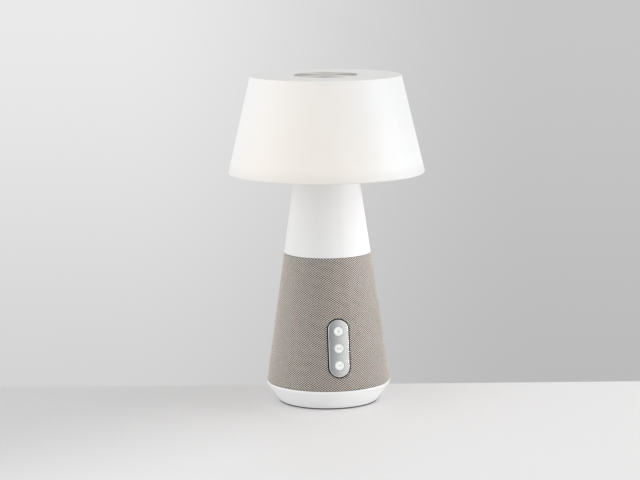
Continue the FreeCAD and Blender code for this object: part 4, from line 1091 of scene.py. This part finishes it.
def cloth_sleeve(finish):
    """Woven sleeve: the cone from hem to hem, netted round the two panel openings, with each cut
    edge rolled in by a quarter circle, and sunk along the seam at the back."""
    low, high = sleeve_low.z, sleeve_high.z
    panels = (key_panel, port_panel)
    edge = seal_width + cloth_turn
    middle_radius = cone_radius((low + high) / 2)
    start = -np.pi / 2
    shells, loops = [], []

    def flat(turn, z):
        """Where a point of the cone lies in the flat net."""
        return np.stack([(turn - start) * middle_radius, z - low], axis=-1)

    for panel in panels:
        path = pill_path(panel)
        steps = quarter_round(seal_width, 0, cloth_turn, -1, 5) + [(seal_width, -cloth_tuck)]
        place = lambda x, y, out: on_cone(x, y, out, panel)
        shells.append(rim(path, steps, place))
        ring = place(*at_offset(path, edge).T, np.zeros(len(path[0])))
        turn = np.arctan2(ring[:, 0], -ring[:, 1])
        turn = np.where(turn < start, turn + 2 * np.pi, turn)
        loops.append(flat(turn, ring[:, 2]))

    columns = 2 * int(np.pi * middle_radius / cloth_spacing)
    turns = start + np.arange(columns + 1) * 2 * np.pi / columns
    turns = np.sort(np.concatenate([turns, np.pi + seam_columns / middle_radius]))
    bottom, top = low + cloth_turn, high - cloth_turn
    heights = dense(bottom, top, cloth_spacing * cone_cosine)
    turn, z = (v.ravel() for v in np.meshgrid(turns, heights))
    free = np.ones(len(turn), dtype=bool)
    for panel in panels:
        free &= pill_gap(turn, z, panel) > edge + 0.35 * cloth_spacing
    spare = flat(turn[free], z[free])
    back = lambda x, y: (x / middle_radius + start, y + low)

    def inside(x, y):
        turn, z = back(x, y)
        held = np.ones(len(turn), dtype=bool)
        for panel in panels:
            held &= pill_gap(turn, z, panel) > edge - 0.02 * mm
        return held

    net, threes = fill(loops, spare, inside)
    turn, z = back(net[:, 0], net[:, 1])
    shells.append((sleeve_point(turn, z, seam_sink(turn, z)), no_fours, threes))

    for end, way in ((bottom, -1), (top, 1)):
        t = np.linspace(0, np.pi / 2, 5)
        levels = np.concatenate([end + way * cloth_turn * np.sin(t), [end + way * cloth_turn]])
        sinks = np.concatenate([cloth_turn * (1 - np.cos(t)), [cloth_tuck]])
        notch = seam_sink(turns, end)
        rings = []
        for level, sink in zip(levels, sinks):
            rings.append(sleeve_point(turns, np.full(len(turns), level), np.maximum(sink, notch)))
        shells.append((np.concatenate(rings), quads(len(rings), len(turns)), no_threes))

    shell = joined(*shells)
    node = "fabric_sleeve"
    piece = make_piece(
        "cloth_sleeve", shell, finish["cloth"], "housing", [node], "cloth", sharp=60, loose=True
    )
    lay_cloth(piece)
    thick = piece.modifiers.new("cloth thickness", "SOLIDIFY")
    thick.thickness = cloth_thick
    thick.offset = -1.0


def lay_cloth(piece):
    """UV map "cloth": the cone rolled out flat. A point at slant distance s from the apex and angle
    t from the front goes to (s sin(t sin a), -s cos(t sin a)), counted in weave cells."""
    mesh = piece.data
    co = np.empty(len(mesh.vertices) * 3, dtype=np.float32)
    mesh.vertices.foreach_get("co", co)
    co = co.reshape(-1, 3).astype(float)
    loop_vertex = np.empty(len(mesh.loops), dtype=np.int32)
    mesh.loops.foreach_get("vertex_index", loop_vertex)
    totals = np.empty(len(mesh.polygons), dtype=np.int32)
    mesh.polygons.foreach_get("loop_total", totals)
    face_of = np.repeat(np.arange(len(totals)), totals)
    corner = co[loop_vertex]
    centre = np.zeros((len(totals), 3))
    np.add.at(centre, face_of, corner)
    face_turn = np.arctan2(centre[:, 0], -centre[:, 1])[face_of]
    turn = np.arctan2(corner[:, 0], -corner[:, 1])
    turn = face_turn + (turn - face_turn + np.pi) % (2 * np.pi) - np.pi
    slant = apex_distance - (corner[:, 2] - sleeve_low.z) / cone_cosine
    flat = np.stack([slant * np.sin(turn * cone_sine), -slant * np.cos(turn * cone_sine)], axis=1)
    flat[:, 1] += apex_distance
    layer = mesh.uv_layers.new(name="cloth")
    layer.data.foreach_set("uv", (flat / weave_cell).astype(np.float32).ravel())


# ================================================================ panels, seals and keys
def panel_seal(name, panel, node, finish):
    """Rubber ring in the gap round a panel, with a rounded top just under the cloth."""
    path = pill_path(panel, side=18)
    near, far = 0.04 * mm, seal_width - 0.04 * mm
    middle, half = (near + far) / 2, (far - near) / 2
    deep, shoulder, crown = -0.9 * mm, -0.45 * mm, 0.3 * mm
    t = np.linspace(0, np.pi, 9)
    steps = [(near, deep)]
    steps += [(middle - half * math.cos(a), shoulder + crown * math.sin(a)) for a in t]
    steps += [(far, deep)]
    points, _, threes = rim(path, steps, lambda x, y, out: on_cone(x, y, out, panel))
    fours = quads(len(steps), len(path[0]), close_rows=True, close_columns=True)
    make_piece(name, outward((points, fours, threes)), finish["rubber"], "housing", [node], "black_rubber")


def panel_plate(name, panel, side, holes, node, finish):
    """Silver-grey plate of a panel with its holes."""
    shell = joined(*plate(pill_path(panel, side=side), holes, panel, plate_spacing))
    make_piece(name, shell, finish["panel"], "housing", [node], "panel_grey", loose=True)


def key_plate(finish):
    """Front plate, with a round hole for each key."""
    size = 2 * key_hole_radius
    holes = [rounded_path(size, size, key_hole_radius, (0, y), steps=18) for y in key_heights.values()]
    panel_plate("key_plate", key_panel, 20, holes, "button_panel", finish)


def port_plate(finish):
    """Rear plate, with the socket's mouth, the slide switch's slot and the microphone's hole."""
    socket_mouth = rounded_path(9.3 * mm, 3.6 * mm, 1.8 * mm, (0, -6.0 * mm), steps=12)
    switch_slot = rounded_path(6.7 * mm, 2.7 * mm, 0.4 * mm, (0, switch_height), steps=6)
    microphone_hole = rounded_path(1.4 * mm, 1.4 * mm, 0.7 * mm, (0, 0.4 * mm), steps=8)
    holes = [socket_mouth, switch_slot, microphone_hole]
    panel_plate("port_plate", port_panel, 16, holes, "port_panel", finish)


def sign_gap(name, x, y):
    """Signed distance to a key's sign, from boxes and a triangle: negative on its strokes."""
    arm, stroke = 1.55 * mm, 0.27 * mm
    level = distance_to_box(x, y, (0, 0), arm, stroke, stroke)
    if name == "minus":
        return level
    if name == "plus":
        return np.minimum(level, distance_to_box(x, y, (0, 0), stroke, arm, stroke))
    tip, tail, half = 0.15 * mm, -1.65 * mm, 1.2 * mm
    slope = np.array([half, tip - tail]) / math.hypot(half, tip - tail)
    triangle = np.maximum(tail - x, slope[0] * (x - tip) + slope[1] * np.abs(y))
    bars = [distance_to_box(x, y, (c, 0), 0.21 * mm, half, 0.1 * mm) for c in (0.72 * mm, 1.5 * mm)]
    return np.minimum(triangle, np.minimum(*bars))


def key_cap(name, finish):
    """Round key: a flat top with its sign sunk in it, an edge softened by a quarter circle, an upright
    side and a flange. The sign's depth falls off as the smooth step u u (3 - 2 u) across its edge."""
    top = panel_proud + key_proud
    edge, ring = 0.45 * mm, 0.075 * mm
    flange_top, flange_bottom = -1.35 * mm, -2.3 * mm
    arc = np.linspace(0, np.pi / 2, 7)[1:]
    reach = dense(0, key_radius - edge, ring)
    face = np.stack([reach, np.full(len(reach), top)], axis=1)
    rounded = np.stack([key_radius - edge + edge * np.sin(arc), top - edge + edge * np.cos(arc)], axis=1)
    below = [
        (key_radius, flange_top),
        (key_flange, flange_top),
        (key_flange, flange_bottom),
        (0.0, flange_bottom),
    ]
    points, fours, threes = turned(np.concatenate([face, rounded, below]), 120)
    gap = sign_gap(name, points[:, 0], points[:, 1])
    ink = np.clip(0.5 - gap / (0.1 * mm), 0, 1)
    ink = ink * ink * (3 - 2 * ink) * (points[:, 2] > top - 0.01 * mm)
    out = points[:, 2] - sign_depth * ink
    placed = on_panel(points[:, 0], points[:, 1] + key_heights[name], out, key_panel)
    shell = outward((placed, fours, threes))
    node = f"button_{name}"
    piece = make_piece(f"key_{name}", shell, finish["key"], node, [node], "key_white")
    layer = piece.data.attributes.new("ink", "FLOAT", "POINT")
    layer.data.foreach_set("value", ink.astype(np.float32))


def slide_knob(finish):
    """Slide switch's knob: a rounded block with grip ridges across its top. The ridges follow a
    cosine, fading out towards the edge."""
    width, height = 3.6 * mm, 2.4 * mm
    centre = (-1.25 * mm, switch_height)
    corner, edge = 0.5 * mm, 0.3 * mm
    top, bottom = panel_proud + 0.5 * mm, -1.0 * mm
    ridge_pitch, ridge_half, ridge_fade = 0.6 * mm, 0.12 * mm, 0.3 * mm
    shrink = 0.97
    path = rounded_path(width, height, corner, centre, steps=8)
    place = lambda x, y, out: on_panel(x, y, out, port_panel)
    steps = [(-edge, bottom), (0, bottom)] + quarter_round(0, top, edge, 1, 5)[::-1]
    body = rim(path, steps, place)
    half = (width / 2 - edge, height / 2 - edge)
    depth = lambda x, y: -distance_to_box(x, y, centre, half[0], half[1], corner - edge)
    inside = lambda x, y: depth(x, y) > 0
    spare = lattice(width, height, 0.11 * mm, lambda x, y: inside(x + centre[0], y + centre[1]))
    spare = spare * shrink + centre
    spare = spare[inside(*spare.T)]
    loop = at_offset(path, -edge)
    flat, threes = fill([loop], spare, inside)
    across = (flat[:, 0] - centre[0]) / ridge_pitch
    fade = np.clip(depth(*flat.T) / ridge_fade, 0, 1)
    ridge = ridge_half * (np.cos(2 * np.pi * across) - 1) * fade
    lid = (place(*flat.T, top + ridge), no_fours, threes)
    flat, threes = fill([loop], np.array([centre]), inside)
    base = (place(*flat.T, np.full(len(flat), bottom)), no_fours, threes)
    make_piece(
        "slide_knob",
        joined(body, lid, base),
        finish["black"],
        "power_slider",
        ["power_slider"],
        "black_plastic",
        sharp=50,
        loose=True,
    )


# ================================================================ table, light and camera
def heading(azimuth):
    """Unit vectors to the right of and away from a camera that stands at an azimuth."""
    a = math.radians(azimuth)
    away = Vector((-math.sin(a), math.cos(a), 0))
    right = Vector((math.cos(a), math.sin(a), 0))
    return right, away


def laminate():
    """White laminate with painted shade: darker towards the back left, where the lamp's shadow and the
    softest light fall.
    """
    white = colour(240, 239, 239)
    right, away = heading(camera_azimuth)

    def build(net):
        out = use(net, moulded, Grain=1200.0)
        along = net.along(net.place(), tuple(right - away))
        # Painted shade: darker towards the back left.
        lit = net.smooth(along, table_painted_shade_until, table_painted_light_from)
        return {
            "Base Color": net.mix(lit, dimmed(white, table_painted_shade_share), white),
            "Roughness": net.math("ADD", 0.46, net.math("MULTIPLY", out["Tone"], 0.1)),
            "Normal": net.bump(out["Height"], 0.2, 0.02 * mm),
        }

    return material("table_laminate", build)


def table():
    """Pale table top whose far edge runs square to the view, close behind the lamp."""
    right, away = heading(camera_azimuth)
    near, far, edge = table_near, table_far, table_edge
    t = np.linspace(0, np.pi / 2, 8)
    rounded = np.stack([far - edge + edge * np.sin(t), -edge + edge * np.cos(t)], axis=1)
    section = np.concatenate([[(near, 0.0)], rounded, [(far, -table_thick), (near, -table_thick)]])
    rows = []
    for side in (-table_half_width, table_half_width):
        rows.append([right * side + away * s[0] + Vector((0, 0, s[1])) for s in section])
    points = np.array([tuple(p) for row in rows for p in row])
    count = len(section)
    fours = quads(2, count, close_columns=True)
    mesh = bpy.data.meshes.new("table_top")
    ends = [list(range(count)), list(range(2 * count - 1, count - 1, -1))]
    mesh.from_pydata(points.tolist(), [], fours.tolist() + ends)
    made = bpy.data.objects.new("table_top", mesh)
    bpy.context.scene.collection.objects.link(made)
    mesh.materials.append(laminate())


def grey_light(level):
    """Linear grey of a brightness."""
    return (level, level, level, 1.0)


def display_grey(level):
    """Linear grey from a display value of 0 to 255."""
    return colour(level, level, level)


def backdrop():
    """Plain studio surround: soft light from both sides and above, less from behind and least from the
    front, and for the camera a pale grey ground with painted shade, darker to the right and downwards."""
    world = bpy.data.worlds.new("studio")
    bpy.context.scene.world = world
    world.use_nodes = True
    net = Net(world.node_tree)
    right, away = heading(camera_azimuth)
    way = net.add("ShaderNodeTexCoord").outputs["Generated"]
    across, deep, height = net.along(way, tuple(right)), net.along(way, tuple(away)), net.apart(way)[2]
    # Painted shade on the ground behind: darker to the right and downwards.
    share = net.smooth(across, -0.1, 0.1)
    high = net.mix(share, display_grey(ground_high_left), display_grey(ground_high_right))
    low = net.mix(share, display_grey(ground_low_left), display_grey(ground_low_right))
    ground = net.mix(net.smooth(height, -0.26, -0.04), low, high)
    seen = net.add("ShaderNodeLightPath").outputs["Is Camera Ray"]
    light = grey_light(light_in_front)
    sides = [
        (deep, -1.0, -0.5, light_beside),
        (across, 0.05, 0.75, light_at_right),
        (across, -0.05, -0.75, light_at_left),
        (deep, 0.2, 0.9, light_behind),
        (height, 0.3, 0.85, light_above),
    ]
    for along, start, end, level in sides:
        light = net.mix(net.smooth(along, start, end), light, grey_light(level))
    soft = net.add("ShaderNodeBackground", {"Color": light, "Strength": 1.0})
    plain = net.add("ShaderNodeBackground", {"Color": ground, "Strength": 1.0})
    both = net.add("ShaderNodeMixShader", {0: seen, 1: soft.outputs[0], 2: plain.outputs[0]})
    output = net.nodes["World Output"]
    net.feed(output.inputs["Surface"], both.outputs[0])


def softbox(name, side, back, height, size, power, aim=0.13, spread=180.0):
    """Square area light placed by its way right of, away from and above the lamp, and aimed at a
    height on the lamp's axis. A grid on its front may narrow its beam to a spread in degrees."""
    right, away = heading(camera_azimuth)
    data = bpy.data.lights.new(name, "AREA")
    data.size = size
    data.energy = power
    data.spread = math.radians(spread)
    lamp = bpy.data.objects.new(name, data)
    bpy.context.scene.collection.objects.link(lamp)
    spot = right * side + away * back + Vector((0, 0, height))
    lamp.location = spot
    lamp.visible_camera = False
    lamp.rotation_euler = (Vector((0, 0, aim)) - spot).to_track_quat("-Z", "Y").to_euler()


def camera():
    """Long lens from above the lamp, tilted down at it, and turned and rolled a little."""
    _, away = heading(camera_azimuth)
    data = bpy.data.cameras.new("camera")
    data.lens = camera_lens
    data.sensor_width = camera_sensor
    made = bpy.data.objects.new("camera", data)
    bpy.context.scene.collection.objects.link(made)
    place = away * -camera_distance + Vector((0, 0, camera_height))
    turn = Matrix.Rotation(math.radians(camera_azimuth + camera_yaw), 4, "Z")
    tilt = Matrix.Rotation(math.radians(90 - camera_pitch), 4, "X")
    roll = Matrix.Rotation(math.radians(camera_roll), 4, "Z")
    made.matrix_world = Matrix.Translation(place) @ turn @ tilt @ roll
    bpy.context.scene.camera = made


# ================================================================ the whole scene
finish = make_materials()
finish_inner_nodes(finish)
base_skirt(finish)
foot_rubber(finish)
neck_cone(finish)
lamp_shade(finish)
touch_plate(finish)
lamp_stem(finish)
cloth_sleeve(finish)
panel_seal("key_panel_seal", key_panel, "panel_gasket", finish)
panel_seal("port_panel_seal", port_panel, "port_gasket", finish)
key_plate(finish)
port_plate(finish)
for key_name in key_heights:
    key_cap(key_name, finish)
slide_knob(finish)

table()
backdrop()
softbox("key_light", side=1.85, back=-0.15, height=0.8, size=1.1, power=5.5)
softbox("low_light", side=1.5, back=-0.35, height=0.25, size=0.2, power=0.035, aim=0.085, spread=8.0)
softbox("fill_light", side=-1.8, back=-0.3, height=0.5, size=1.2, power=3.0)
camera()
bpy.context.scene.view_settings.view_transform = "Standard"
